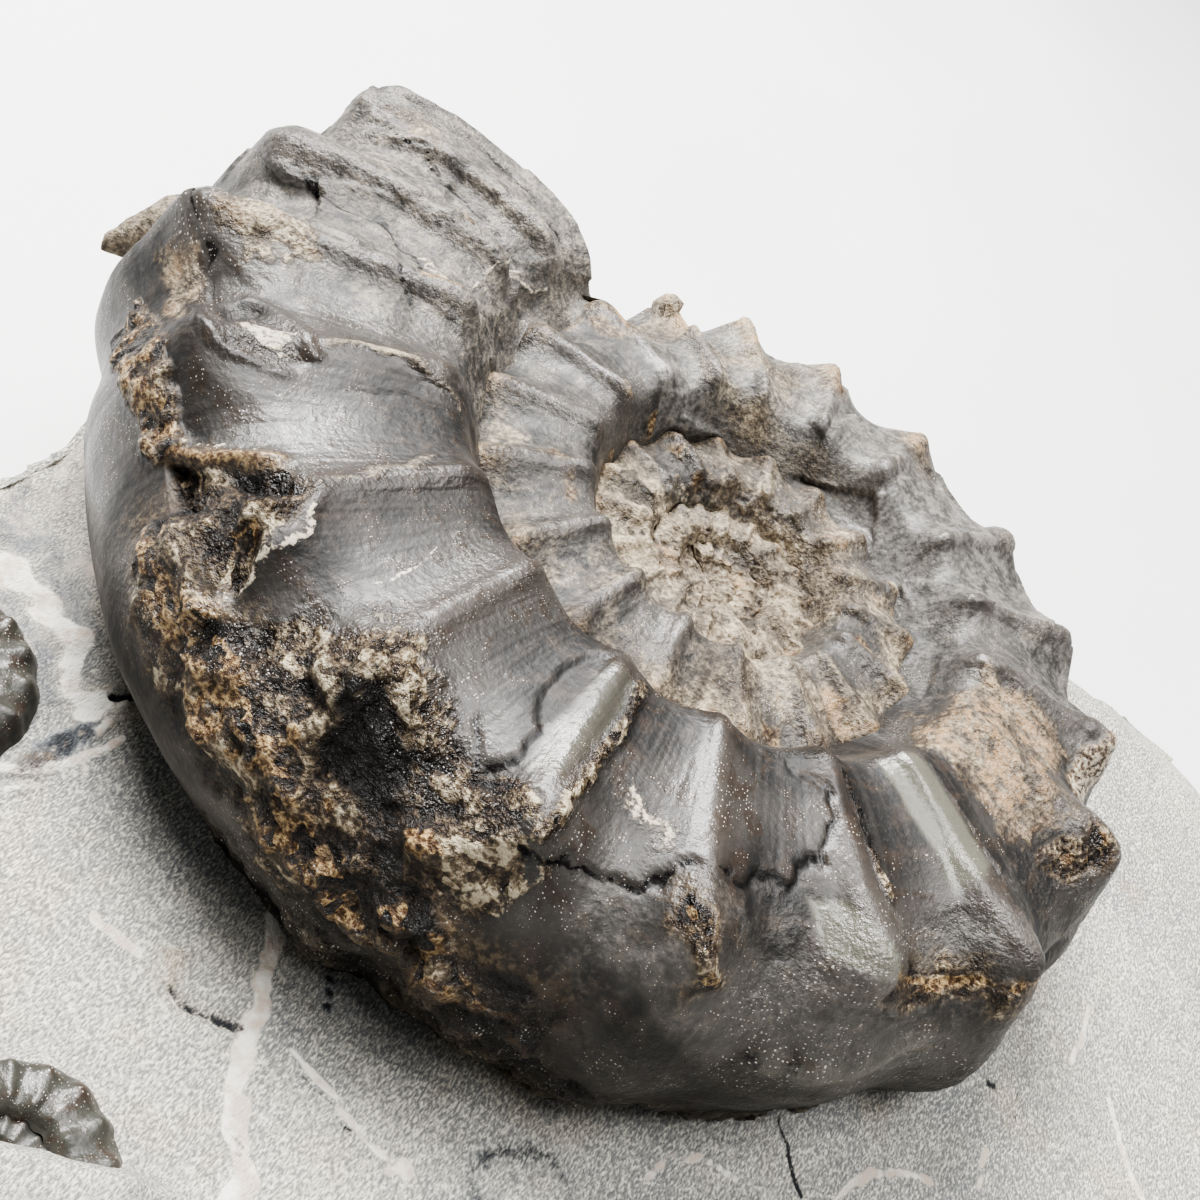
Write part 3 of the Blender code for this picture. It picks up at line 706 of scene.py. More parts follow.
OUTER_MARKS = (
    # Rim over the three-cornered break, and cream crystal lines beside it.
    Mark(((1.06, 5.6), (1.09, 5.3), (1.12, 4.9), (1.14, 4.5)), width=0.42, height=0.38, amber=0.7,
         dark=0.2),
    Mark(((1.05, 5.4), (1.08, 5.0), (1.11, 4.6)), width=0.12, ragged=0.3, pale=0.6),
    Mark(((1.33, 5.5), (1.32, 5.0), (1.29, 4.4), (1.24, 4.2)), width=0.2, ragged=0.35, height=0.15,
         pale=0.65),
    Mark(((1.4, 4.1), (1.41, 3.8), (1.39, 3.5), (1.36, 3.2)), width=0.14, ragged=0.4, pale=0.65),
    Mark(((1.22, 4.4), (1.2, 3.9), (1.18, 3.4), (1.12, 2.7)), width=0.3, ragged=0.5, pale=0.45, worn=0.5,
         height=0.05),
    # Rim of the scar.
    Mark(((0.95, 4.2), (0.94, 4.7), (0.88, 5.0), (0.8, 4.95), (0.77, 4.6), (0.81, 4.2), (0.9, 3.9)),
         width=0.28, height=0.3, pale=0.35),
    # Belt of amber and tan crystals down the far row of tubercles.
    Mark(((1.21, 6.2), (1.3, 6.2), (1.39, 6.2), (1.46, 6.2), (1.56, 6.4), (1.64, 6.6), (1.73, 6.8),
          (1.83, 6.9), (1.93, 7.0), (2.04, 7.0)), width=1.7, ragged=1.0, height=0.25, rough=1.0,
         amber=0.75, worn=0.15),
    Mark(((1.83, 6.9), (1.93, 7.4), (2.05, 7.7), (2.2, 8.0), (2.4, 8.4)), width=1.5, ragged=0.9,
         height=0.1, rough=1.0, amber=0.4),
    # Tufted crack, one side raised.
    Mark(((1.9, 5.3), (1.94, 5.15), (1.97, 5.1), (2.02, 4.9), (2.08, 4.7), (2.14, 4.4), (2.23, 4.1),
          (2.28, 4.2), (2.35, 4.2), (2.38, 4.0), (2.43, 3.7), (2.45, 3.5), (2.47, 3.1), (2.43, 2.7),
          (2.37, 2.4)), width=0.16, ragged=0.6, height=-0.3, step=-0.2, reach=1.4, dark=1.0),
    # Flake edges.
    Mark(((1.79, 2.0), (1.74, 2.6), (1.73, 3.1), (1.74, 3.4), (1.8, 3.9), (1.79, 4.2), (1.78, 4.4),
          (1.77, 4.6)), width=0.15, ragged=0.35, height=-0.15, step=0.25, reach=1.2, dark=0.9),
    Mark(((1.76, 4.6), (1.72, 4.2), (1.7, 4.1)), width=0.14, ragged=0.3, height=-0.15, dark=0.9),
    Mark(((1.89, 2.2), (1.91, 3.2), (1.91, 3.5), (1.91, 4.0), (1.9, 4.5), (1.9, 5.0)), width=0.45,
         ragged=0.3, height=0.12, rough=0.7, pale=0.15),
    # Cream chip and its broken edge.
    Mark(((2.0, 3.85), (2.05, 3.95), (2.1, 4.0)), width=0.5, ragged=0.5, height=-0.05, pale=0.58,
         worn=0.4),
    Mark(((1.98, 3.6), (2.0, 3.75)), width=0.2, ragged=0.6, pale=0.5),
    # Lines beside the last ribs.
    Mark(((2.28, 2.2), (2.38, 2.0), (2.46, 2.1), (2.53, 2.4)), width=0.25, height=0.1, rough=0.4,
         dark=0.3),
    Mark(((2.53, 2.4), (2.56, 3.0), (2.56, 3.6), (2.58, 4.1)), width=0.5, ragged=0.35, height=0.15,
         rough=0.8, pale=0.15),
    Mark(((2.88, 2.0), (2.9, 2.8), (2.92, 3.5), (2.92, 4.1)), width=0.3, height=0.15, step=0.2, dark=0.5,
         rough=0.4),
    # Keel, and the rusty line above it.
    Mark(((2.4, 6.5), (2.52, 6.5), (2.61, 6.4), (2.7, 6.2)), width=0.8, height=0.4, ragged=0.1,
         polish=0.4),
    Mark(((2.95, 6.2), (3.1, 6.4), (3.3, 6.3), (3.5, 6.1)), width=0.6, height=-0.3, ragged=0.3,
         dark=0.5),
    Mark(((2.58, 5.1), (2.73, 5.4), (2.8, 5.3), (2.95, 5.3)), width=0.3, ragged=0.3, height=-0.15,
         amber=0.8, dark=0.3),
    Mark(((2.16, 4.9), (2.19, 5.0), (2.22, 5.4)), width=0.7, ragged=0.9, amber=0.6, rough=0.9),
    # Cracks, chips and rubbed lines beside the last ribs, near the mouth.
    Mark(((0.63, 3.0), (0.43, 3.1), (0.39, 3.6), (0.4, 4.2), (0.38, 4.7)), width=0.22, ragged=0.6,
         height=-0.2, step=-0.2, dark=0.8),
    Mark(((0.51, 2.0), (0.45, 2.6), (0.43, 3.1)), ragged=0.7, height=0.15, pale=0.6, worn=0.6),
    Mark(((0.12, 2.0), (0.09, 2.9), (0.09, 3.7), (0.02, 4.4), (-0.03, 4.9)), width=0.2, ragged=0.6,
         height=-0.25, step=0.2, dark=0.7),
    Mark(((-0.12, 2.2), (-0.14, 3.2), (-0.17, 4.2), (-0.18, 5.0)), width=0.25, ragged=0.7, height=-0.2,
         step=0.2, dark=0.6),
    Mark(((0.02, 4.0), (-0.06, 4.4), (-0.1, 4.9)), width=0.5, ragged=0.8, worn=0.8, pale=0.45),
    Mark(((0.24, 2.4), (0.22, 3.2), (0.25, 4.0)), width=0.3, ragged=0.9, height=0.1, worn=0.8, pale=0.3),
    Mark(((0.86, 3.7), (0.84, 3.0), (0.86, 2.3), (0.9, 1.9)), width=0.3, ragged=0.6, height=0.12,
         worn=0.8, pale=0.25),
    Mark(((0.94, 3.6), (0.93, 2.9), (0.95, 2.4)), width=0.18, ragged=0.6, height=-0.15, dark=0.7),
    # Cream plate edges in the umbilical wall by the mouth.
    Mark(((0.38, 2.1), (0.27, 1.9), (0.17, 1.7), (0.02, 1.1)), width=0.25, ragged=0.2, height=0.15,
         pale=0.7),
    # Thin dark line and pale strip over the far tubercles.
    Mark(((0.55, 5.3), (0.66, 5.1), (0.76, 5.1), (0.9, 5.15)), width=0.16, ragged=0.35, height=-0.1,
         dark=0.65),
)

AMBER_LUMPS = (
    (1.32, 5.85), (1.37, 6.30), (1.39, 5.95), (1.45, 6.70), (1.50, 6.25), (1.58, 6.30), (1.62, 6.95),
    (1.68, 6.90), (1.74, 7.20), (1.78, 5.75), (1.81, 6.60), (1.86, 6.60), (1.90, 7.10), (1.97, 7.60),
    (2.05, 7.30),
)
LUMP_LENGTH = 0.018
OUTER_MARKS += tuple(
    Mark(((angle, place), (angle + LUMP_LENGTH, place - LUMP_LENGTH)), width=0.70, ragged=0.35,
         height=0.65, amber=1.0, polish=0.6)
    for angle, place in AMBER_LUMPS
)

# Spans of angle and place on the large shell: at a span's second end the thing is there in full.
OLDER_ANGLES, OLDER_PLACES = (2.9, 4.4), (6.5, 4.8)
RUBBED_ANGLES, RUBBED_PLACES = (3.2, 5.0), (5.6, 4.4)
NEWER_ANGLES = ((5.6, 6.2), (8.6, 7.2))
MIDDLE_ANGLES = (1.2 * TURN, 2 * TURN)
WORN_MIDDLE = (1.25 * TURN, 2 * TURN)
WALL_ANGLES, WALL_PLACES = (0.5, 0.9), (1.1, 0.2)
SEAM_PLACES = (0.8, 0.1)
FLANK_PLACES = ((1.2, 2.2), (5.6, 4.6))
TIP_ANGLES, TIP_PLACES = (4.2, 5.0), ((3.4, 4.4), (5.8, 5.2))
INNER_TIPS = (4.2, 5.0)
MOUTH_ANGLES = (0.85, 0.45)
OUTER_EDGES = ((0.0, 0.5), (9.4, 8.8))  # places where a mesh's relief dies out at its sides
INNER_EDGES = ((0.0, 0.6), (5.0, 4.6))
WHORL_JOIN = 0.12  # angle over which it dies out where two meshes meet
RAISED_SPAN = (-0.45, 0.60)

# Strengths of the looks, and the relief of the ribs.
# The wall and seam strengths on the next line are painted shade along the umbilical wall and the seams
# between whorls.
OLDER_DUST, INNER_DUST, WALL_SHADE, SEAM_SHADE, SEAM_MIDDLE = 0.68, 0.25, 0.46, 0.46, 0.18
RUBBED, RUBBED_NEWER, RUBBED_PATCH, RUBBED_MIDDLE = 0.28, 0.24, 0.55, 0.45
OUTER_TIP_WEAR, INNER_TIP_WEAR = (0.9, 0.8), (0.8, 0.5)  # worn and amber
SMALL_CREST = 0.5
CREST_POWER = 4
OUTER_RIBS, INNER_RIBS = (0.42, 10, 0.15), (0.34, 6, 0.12)  # crest, sharpness and hollow
MOUTH_RIBS = (0.75, 3, 0.28)
# As (look, strength, span of its noise, size in millimetres, seed).
INNER_PATCHES = (
    ("amber", 0.6, (0.55, 1.0), 2.0, 25), ("dark", 0.5, (0.60, 1.0), 2.2, 35),
    ("polish", 0.5, (0.5, 0.9), 3.0, 37), ("rough", 0.35, (-0.2, 0.5), 3.0, 39),
)
WANDER_SIZE, WANDER_SEEDS = 1.4, (0, 9)
OUTER_WANDER, BED_WANDER = 21, 121  # seeds
WEAR_PATCH = (4.0, 15)  # size and seed

# Relief, as (kind of noise, height and size in millimetres, seed).
BREAK = (
    (rough_noise, 0.42, 2.4, 51), (ridges, 0.24, 1.3, 57), (facets, 0.40, 1.3, 31),
    (facets, 0.22, 0.6, 41),
)
WORN = ((rough_noise, 0.10, 1.7, 81), (facets, 0.10, 0.7, 47))
UNEVEN = ((noise, 0.09, 5.0, 61), (noise, 0.015, 1.3, 71))
DUSTY = ((facets, 1.2, 4.0, 95),)
INNER_UNEVEN = ((noise, 0.06, 2.0, 63),)
MIDDLE_LUMPS = ((rough_noise, 0.22, 1.9, 99),)
INNER_BREAK = 0.7  # of the break's height
INNER_WORN = 0.5  # of the worn relief's height, and more in the middle
CENTRE_LUMPS = ((rough_noise, 0.35, 1.2, 91),)
SPINE_LUMPS = ((rough_noise, 0.25, 1.5, 97),)
SMALL_LUMPS = ((rough_noise, 0.10, 1.0, 17),)


def wandering(points, seed):
    """Noise along both axes of a chart."""
    return np.stack([rough_noise(points, WANDER_SIZE, seed + more) for more in WANDER_SEEDS], axis=-1)


def no_looks(shape):
    return {name: np.zeros(shape) for name in LOOKS}


def raise_look(looks, name, value):
    looks[name] = np.maximum(looks[name], value)


def raise_looks(looks, item, share):
    """Brings in the looks of a zone or mark by its share, where that is more than there is."""
    for name in LOOKS:
        raise_look(looks, name, getattr(item, name) * share)


def draw_zones(zones, marks, chart, wander, step):
    """Height in millimetres and looks from the zones and marks on a chart in millimetres."""
    height = np.zeros(chart.shape[:-1])
    looks = no_looks(height.shape)
    for zone in zones:
        away = area_distance(chart + wander * zone.ragged, np.array(zone.corners) * step)
        share = smooth_step(zone.edge / 2, -zone.edge / 2, away)
        height -= zone.sink * share
        raise_looks(looks, zone, share)
    for mark in marks:
        line = np.array(mark.points) * step
        signed, away = line_distance(chart + wander * mark.ragged, line)
        share = np.exp(-((away / mark.width) ** 2))
        beside = smooth_step(-mark.width, mark.width, signed) - 0.5
        height += mark.height * share
        height += mark.step * beside * np.exp(-((away / mark.reach) ** 2))
        raise_looks(looks, mark, share)
    return height, looks


def wear(points, angle, place):
    """How far the shell is rubbed down to tan crystal, from 0 to 1."""
    older = smooth_step(*RUBBED_ANGLES, angle) * smooth_step(*RUBBED_PLACES, place)
    newer = between(*NEWER_ANGLES, angle)
    middle = smooth_step(*WORN_MIDDLE, angle)
    rubbed = RUBBED - RUBBED_NEWER * newer + RUBBED_PATCH * rough_noise(points, *WEAR_PATCH)
    return np.clip(older * rubbed + RUBBED_MIDDLE * middle, 0.0, 1.0)


def wear_tips(looks, tips, worn, amber):
    raise_look(looks, "worn", worn * tips)
    raise_look(looks, "amber", amber * tips)


def rib_relief(share, crest, sharpness, hollow):
    """Relief in millimetres that lifts the ribs' crests and lowers what lies beside them."""
    return crest * share**sharpness - hollow * share


def mouth_relief(angle, share):
    """Relief in millimetres that makes the ribs by the mouth higher, and all between them lower."""
    crest, sharpness, hollow = MOUTH_RIBS
    return smooth_step(*MOUTH_ANGLES, angle) * (crest * share**sharpness - hollow)


def outer_detail(grid, angle, place):
    """Relief in millimetres and looks of the last whorl."""
    chart = np.stack([angle, place], axis=-1) * CHART_STEP
    wander = wandering(grid, OUTER_WANDER)
    height, looks = draw_zones(OUTER_ZONES, OUTER_MARKS, chart, wander, CHART_STEP)
    raise_look(looks, "worn", wear(grid, angle, place))
    older = smooth_step(*OLDER_ANGLES, angle) * smooth_step(*OLDER_PLACES, place)
    raise_look(looks, "dusty", OLDER_DUST * older)
    broken = layered(grid, BREAK)
    height += layered(grid, UNEVEN) + looks["rough"] * broken
    height += looks["worn"] * layered(grid, WORN) + looks["dusty"] * layered(grid, DUSTY)
    # Painted shade: the umbilical wall down to the older whorl is darkened through the dark look.
    wall = smooth_step(*WALL_PLACES, place) * smooth_step(*WALL_ANGLES, angle)
    raise_look(looks, "dark", WALL_SHADE * wall)
    share = crest_share(LARGE, angle, place)
    flank = between(*FLANK_PLACES, place)
    looks["crest"] = share**CREST_POWER * flank
    looks["raised"] = smooth_step(*RAISED_SPAN, broken)
    tips = share**CREST_POWER * between(*TIP_PLACES, place) * smooth_step(*TIP_ANGLES, angle)
    wear_tips(looks, tips, *OUTER_TIP_WEAR)
    height += flank * (rib_relief(share, *OUTER_RIBS) + mouth_relief(angle, share))
    last = TURN - LARGE.mouth
    join = smooth_step(last, last - WHORL_JOIN, angle)
    return height * between(*OUTER_EDGES, place) * join, looks


def inner_detail(grid, angle, place):
    """Relief in millimetres and looks of the older, worn whorls."""
    looks = no_looks(angle.shape)
    middle = smooth_step(*MIDDLE_ANGLES, angle)
    looks["worn"] = wear(grid, angle, place)
    looks["dusty"] = np.full(angle.shape, INNER_DUST)
    for name, strength, span, size, seed in INNER_PATCHES:
        looks[name] = strength * smooth_step(*span, rough_noise(grid, size, seed))
    looks["polish"] *= middle
    looks["rough"] *= middle
    broken = layered(grid, BREAK)
    looks["raised"] = smooth_step(*RAISED_SPAN, broken)
    share = crest_share(LARGE, angle, place)
    looks["crest"] = share**CREST_POWER
    wear_tips(looks, looks["crest"] * smooth_step(*INNER_TIPS, place), *INNER_TIP_WEAR)
    # Painted shade in the seam where the last whorl wraps over the older ones, less of it in the middle
    # of the coil.
    seam = (SEAM_SHADE - SEAM_MIDDLE * middle) * smooth_step(*SEAM_PLACES, place)
    raise_look(looks, "dark", seam)
    height = layered(grid, INNER_UNEVEN) + (INNER_WORN + middle) * layered(grid, WORN)
    height += middle * layered(grid, MIDDLE_LUMPS) + looks["rough"] * INNER_BREAK * broken
    older_size = coil_radius(LARGE, angle - TURN) / LARGE.row_radius
    height += smooth_step(*FLANK_PLACES[0], place) * older_size * rib_relief(share, *INNER_RIBS)
    first = TURN - LARGE.mouth
    join = smooth_step(first, first + WHORL_JOIN, angle)
    return height * between(*INNER_EDGES, place) * join, looks


def small_detail(grid, angle, place):
    """Relief in millimetres and looks of a small shell."""
    looks = no_looks(angle.shape)
    looks["crest"] = SMALL_CREST * rib_share(LEFT, angle, 1.0)[0] ** CREST_POWER
    return layered(grid, SMALL_LUMPS) * smooth_step(*INNER_EDGES[0], place), looks


# ---------------------------------------------------------------- what shows on the bed

# Places on the bed as (x, y), in millimetres.
BED_ZONES = (
    # Cream lumpy rock at the block's left.
    Zone(((-40.0, -12.0), (-40.0, 12.0), (-22.0, 12.0), (-19.0, -6.0), (-20.5, -9.5), (-22.5, -12.5),
          (-30.0, -14.0)), edge=2.0, ragged=1.5, pale=0.35, rough=0.7),
    # Blue-grey lens of shell.
    Zone(((-22.3, -15.9), (-22.7, -14.4), (-22.7, -12.7), (-22.3, -11.3), (-21.6, -10.3), (-21.2, -11.7),
          (-21.2, -13.4), (-21.5, -14.9)), edge=0.4, ragged=0.15, sink=-0.2, polish=0.9, dark=0.45),
    # Blue-grey patch of painted shade beside the vein.
    Zone(((-6.8, -12.5), (-4.9, -15.3), (-1.0, -15.8), (2.0, -13.2), (-2.0, -11.5)), edge=1.2,
         ragged=0.6, polish=0.3),
    # Stain at the right.
    Zone(((26.8, 24.4), (28.6, 24.0), (28.8, 22.9), (27.0, 23.2)), edge=0.8, dark=0.3, amber=0.3),
)
BED_MARKS = (
    # White vein across the bed.
    Mark(((-9.7, -13.1), (-8.5, -15.0), (-7.7, -16.7), (-6.7, -18.2), (-5.9, -19.5), (-5.1, -20.6),
          (-4.1, -21.9), (-3.0, -23.5), (-2.0, -25.2)), width=0.48, ragged=0.55, height=0.14, pale=1.0),
    Mark(((-4.4, -21.6), (-4.1, -22.0)), ragged=0.4, dark=0.45, polish=0.6),
    Mark(((-6.9, -12.4), (-5.7, -13.8), (-4.9, -15.2)), width=0.22, ragged=0.25, height=-0.1, dark=0.62,
         polish=0.9),
    # Lump and groove that end at it.
    Mark(((-11.4, -17.7), (-10.8, -18.0)), width=0.6, ragged=0.5, height=0.35, amber=0.35, pale=0.3),
    Mark(((-10.4, -18.4), (-9.2, -18.5), (-8.4, -18.2), (-7.2, -18.1)), width=0.3, ragged=0.25,
         height=-0.35, dark=0.6, amber=0.2),
    Mark(((-15.2, -18.2), (-12.6, -18.4)), width=0.25, ragged=0.25, pale=0.9, height=0.05),
    # Curved shell sections: pale lines, the first with a dark line of painted shadow beside it.
    Mark(((-5.0, -17.2), (-4.0, -17.5), (-2.6, -17.8), (-1.0, -18.3), (0.2, -18.5), (1.3, -18.7)),
         width=0.2, ragged=0.12, height=0.08, pale=0.85),
    # Painted shadow: a dark line just below the pale one above.
    Mark(((-4.8, -17.5), (-3.9, -17.8), (-2.5, -18.1), (-0.9, -18.6), (0.3, -18.8)), width=0.15,
         ragged=0.12, dark=0.5),
    Mark(((1.5, -18.0), (1.9, -18.2)), width=0.4, ragged=0.4, pale=0.9),
    Mark(((3.9, -16.0), (4.4, -15.0), (5.3, -14.0), (6.8, -13.8), (8.0, -14.4), (8.3, -15.8),
          (7.4, -17.2), (5.6, -17.6), (4.3, -17.0), (3.9, -16.0)), width=0.5, ragged=0.4, dark=0.42,
         polish=0.35),
    Mark(((10.3, -12.0), (10.7, -10.7), (12.0, -9.5), (13.8, -9.3)), width=0.18, height=0.05, pale=0.8),
    Mark(((14.3, -5.5), (15.3, -6.4), (16.8, -8.0)), width=0.2, dark=0.6),
    Mark(((18.1, -7.1), (18.4, -5.8), (19.3, -4.5), (20.7, -3.6), (22.2, -3.0)), width=0.22, height=0.06,
         pale=0.8),
    Mark(((22.9, 3.4), (23.3, 3.6)), width=0.3, ragged=0.2, dark=0.7),
    Mark(((24.5, 5.2), (25.1, 3.3)), width=0.15, ragged=0.1, dark=0.5),
    Mark(((24.1, 0.6), (24.5, -1.5)), width=0.2, pale=0.7),
    Mark(((27.4, 13.5), (27.6, 11.7), (27.2, 8.8)), width=0.2, pale=0.8),
    Mark(((29.9, 8.9), (31.2, 7.0), (33.2, 4.9)), width=0.25, pale=0.8),
    Mark(((30.5, 16.6), (32.0, 14.0), (33.7, 10.0)), width=0.5, ragged=0.6, height=-0.15, pale=0.4,
         dark=0.2),
    # Streaks of shell in the cream rock.
    Mark(((-31.8, -7.1), (-29.1, -7.2), (-25.7, -8.5), (-22.8, -10.5)), width=0.7, ragged=0.7,
         height=0.1, pale=1.0),
    Mark(((-34.0, -3.4), (-31.0, -4.8), (-27.0, -7.0), (-24.0, -8.6)), width=0.9, ragged=0.9, polish=0.7,
         pale=0.2),
    Mark(((-30.5, -8.6), (-27.0, -9.6), (-24.0, -11.6)), width=0.8, ragged=0.6, polish=0.7, dark=0.2),
    Mark(((-33.4, -5.6), (-31.6, -5.3)), width=1.0, ragged=0.4, polish=0.85, height=0.2),
    # Slit under the shell, the thin curved edge beside it, and ridges below.
    Mark(((-22.4, -9.4), (-21.9, -9.0), (-21.5, -8.4)), width=0.25, ragged=0.1, height=-0.5, dark=1.0),
    Mark(((-21.7, -9.3), (-21.3, -10.2), (-21.3, -11.5)), width=0.2, ragged=0.1, height=0.35, pale=0.7),
    Mark(((-23.0, -16.0), (-21.6, -14.8), (-20.7, -12.6), (-20.2, -11.0)), width=0.3, height=0.2,
         pale=0.8),
    Mark(((-22.4, -17.2), (-21.2, -15.4), (-20.2, -13.0)), width=0.25, ragged=0.2, height=0.1, pale=0.6),
    Mark(((-22.1, -14.6), (-21.9, -14.2)), width=0.45, ragged=0.2, height=0.35, amber=0.7),
    Mark(((-22.2, -15.2), (-21.9, -13.2), (-21.6, -11.2)), width=0.14, ragged=0.1, pale=0.7),
)
# Rock that rises to meet the large shell, as (x, y, reach, height).
FOOT_LUMPS = (
    (0.0205, 0.0035, 0.0040, 0.0010),
    (0.0120, -0.0070, 0.0030, 0.0003),
)
# Rock over the inner part of the corner ammonite. Its edge is a line through a place.
COVER_PLACE = (-0.0087, -0.0262)
COVER_LINE = np.array([4.2, 2.1]) / math.hypot(4.2, 2.1)
COVER_HEIGHT = 0.0020
COVER_EDGE = (-0.0004, 0.0010)
COVER_REACH = (0.0085, 0.0045)
# In millimetres, as (height, distance from a shell's foot, reach).
FILLET = (0.45, 0.1, 0.7)
RIPPLE = (0.16, 1.7, 0.35)
# Painted shade on the rock beside each shell's foot, as strength and reach in millimetres. It goes into
# the polish look, so it shows in the blue-grey of shell.
SHADE, SHADE_REACH = 0.25, 2.2
# Relief, as (kind of noise, height and size in millimetres, seed), and the octaves on the bed.
BED_LUMPS = ((rough_noise, 0.22, 11.0, 131, 2), (rough_noise, 0.05, 2.0, 135, 2))
BED_ROUGH = ((rough_noise, 0.45, 3.2, 141),)
SIDE_CHIPS = (
    (facets, 1.5, 7.0, 151), (facets, 0.8, 3.0, 153), (rough_noise, 0.2, 3.0, 155),
    (facets, 0.3, 1.4, 159),
)
SIDE_DEPTH = 1.1  # millimetres that the chips are set in
BED_STEP = (1.0, 1.0)  # the bed's chart is in millimetres already


def corner_cover(x, y):
    """Height of the rock over the corner ammonite."""
    beside = COVER_LINE[1] * (x - COVER_PLACE[0]) - COVER_LINE[0] * (y - COVER_PLACE[1])
    near = np.hypot(x - CORNER.x, y - CORNER.y)
    return COVER_HEIGHT * smooth_step(*COVER_EDGE, beside) * smooth_step(*COVER_REACH, near)


def foot_fillet(beyond):
    """Relief in millimetres of the rock that meets a shell, this many millimetres from its foot."""
    height, start, reach = FILLET
    rise = height * np.exp(-((np.maximum(beyond - start, 0.0) / reach) ** 2))
    height, middle, reach = RIPPLE
    return rise + height * np.exp(-(((beyond - middle) / reach) ** 2))


def bed_detail(grid):
    """Relief in millimetres and looks of the bed."""
    x, y = grid[..., 0], grid[..., 1]
    chart = grid[..., :2] / MM
    height, looks = draw_zones(BED_ZONES, BED_MARKS, chart, wandering(grid, BED_WANDER), BED_STEP)
    beyond = np.min([beyond_foot(coil, x, y) for coil in (LARGE, LEFT, CORNER)], axis=0) / MM
    height += foot_fillet(beyond) + (mounds(x, y, FOOT_LUMPS) + corner_cover(x, y)) / MM
    height += layered(grid, BED_LUMPS) + looks["rough"] * layered(grid, BED_ROUGH)
    # Painted shade beside the shells' feet, carried in the polish look.
    raise_look(looks, "polish", SHADE * np.exp(-((beyond / SHADE_REACH) ** 2)))
    return height, looks


# ---------------------------------------------------------------- materials

MIX_SHARE, MIX_FIRST, MIX_SECOND, MIX_RESULT = 0, 6, 7, 2  # sockets of a colour mix

DUST, FILM = (0.56, 0.54, 0.50), (0.30, 0.285, 0.26)
GRIME, RUBBED_CREST, POLISHED = (0.11, 0.09, 0.075), (0.13, 0.10, 0.08), (0.190, 0.187, 0.150)
# Of these, the near-black one paints cracks and dark lines, and also painted shade along the umbilical
# wall, the seams between whorls and the underside.
RUST, CREAM, CRACK_AND_SHADE = (0.45, 0.29, 0.155), (0.56, 0.49, 0.38), (0.006, 0.004, 0.003)
CRYSTAL_TONES = (
    (0.45, (0.004, 0.003, 0.002)), (0.60, (0.018, 0.011, 0.007)), (0.72, (0.055, 0.036, 0.022)),
    (0.83, (0.18, 0.135, 0.082)), (0.94, (0.50, 0.43, 0.31)),
)
RESIN_TONES = (
    (0.32, (0.022, 0.009, 0.003)), (0.46, (0.115, 0.055, 0.017)), (0.62, (0.52, 0.37, 0.19)),
)
SUGAR_TONES = (
    (0.48, (0.055, 0.042, 0.032)), (0.64, (0.150, 0.120, 0.088)), (0.78, (0.30, 0.245, 0.175)),
    (0.94, (0.54, 0.455, 0.33)),
)
SHELL_IOR = 1.6
ROCK_TONES = (
    (0.30, (0.34, 0.335, 0.31)), (0.50, (0.44, 0.425, 0.375)), (0.70, (0.54, 0.50, 0.42)),
)
ROCK_BLUE, ROCK_TAN, ROCK_GREY = (0.23, 0.24, 0.25), (0.47, 0.39, 0.28), (0.28, 0.275, 0.265)
ROCK_CREAM, ROCK_DARK, ROCK_LIGHT = (0.50, 0.45, 0.36), (0.140, 0.142, 0.142), (0.82, 0.78, 0.68)
# The blue-grey shell colour also paints the shade beside the shells' feet and beside the vein; the
# near-black crack colour also paints a shadow line beside a curved shell section.
ROCK_SHELL_AND_SHADE, ROCK_RUST, ROCK_CRACK_AND_SHADE = (0.090, 0.110, 0.140), (0.30, 0.20, 0.10), (0.022, 0.024, 0.028)
VEIN_WHITE, VEIN_TAN = (0.82, 0.79, 0.72), (0.60, 0.51, 0.43)
FLOOR_DARK, FLOOR_LIGHT = (0.74, 0.74, 0.73), (0.80, 0.80, 0.79)

# Noises, as (per mm, detail, roughness).
SHELL_BROAD, SHELL_MIDDLE = (0.16, 1.0, 0.6), (0.9, 2.0, 0.65)
SHELL_GRIT, SHELL_GROWTH = (3.6, 3.0, 0.62), (1.0, 1.0, 0.55)
GROWTH_STRETCH = (2.2, 0.10, 1.0)
CRYSTALS_PER_MM, SPECKS_PER_MM = 2.3, 7.5
ROCK_BROAD, ROCK_MIDDLE = (0.06, 1.0, 0.6), (0.6, 3.0, 0.65)
ROCK_CLOUDS, ROCK_STIPPLE = (0.2, 2.0, 0.6), (1.0, 2.0, 0.6)
STIPPLE_STRETCH, STIPPLE_TURN = (10.0, 4.4, 7.5), 0.5
FLOOR_SOFT = (0.02, 1.0, 0.55)

# Shares of coats, as (factors of their sources, low and high sum, shares at these sums).
GREY_SHARE = ({"broad": 1}, 0.38, 0.62)
BROWN_SHARE = ({"middle": 1}, 0.48, 0.68, 0.0, 0.75)
LINE_SHARE = ({"growth": 1}, 0.45, 0.75, 0.0, 0.35)
GRIME_SHARE = ({"grit": 1}, 0.50, 0.75, 0.0, 0.35)
FILM_SHARE = ({"grit": 1, "middle": 1}, 0.75, 1.25, 0.25, 0.95)
BROKEN_SHARE = ({"rough": 1, "grit": 0.6}, 0.60, 0.85)
GLINT_SHARE = ({"amber": 1, "fleck": 0.6, "raised": 0.3}, 1.06, 1.26)
RUBBED_SHARE = ({"worn": 1, "middle": 0.5, "grit": 0.5}, 0.65, 1.30)
RUST_SHARE = ({"middle": 1}, 0.44, 0.62)
CREAM_SHARE = ({"pale": 1, "grit": 0.9}, 0.92, 1.08)
CRACK_AND_SHADE_SHARE = ({"dark": 1, "grit": 0.5}, 0.60, 0.86)
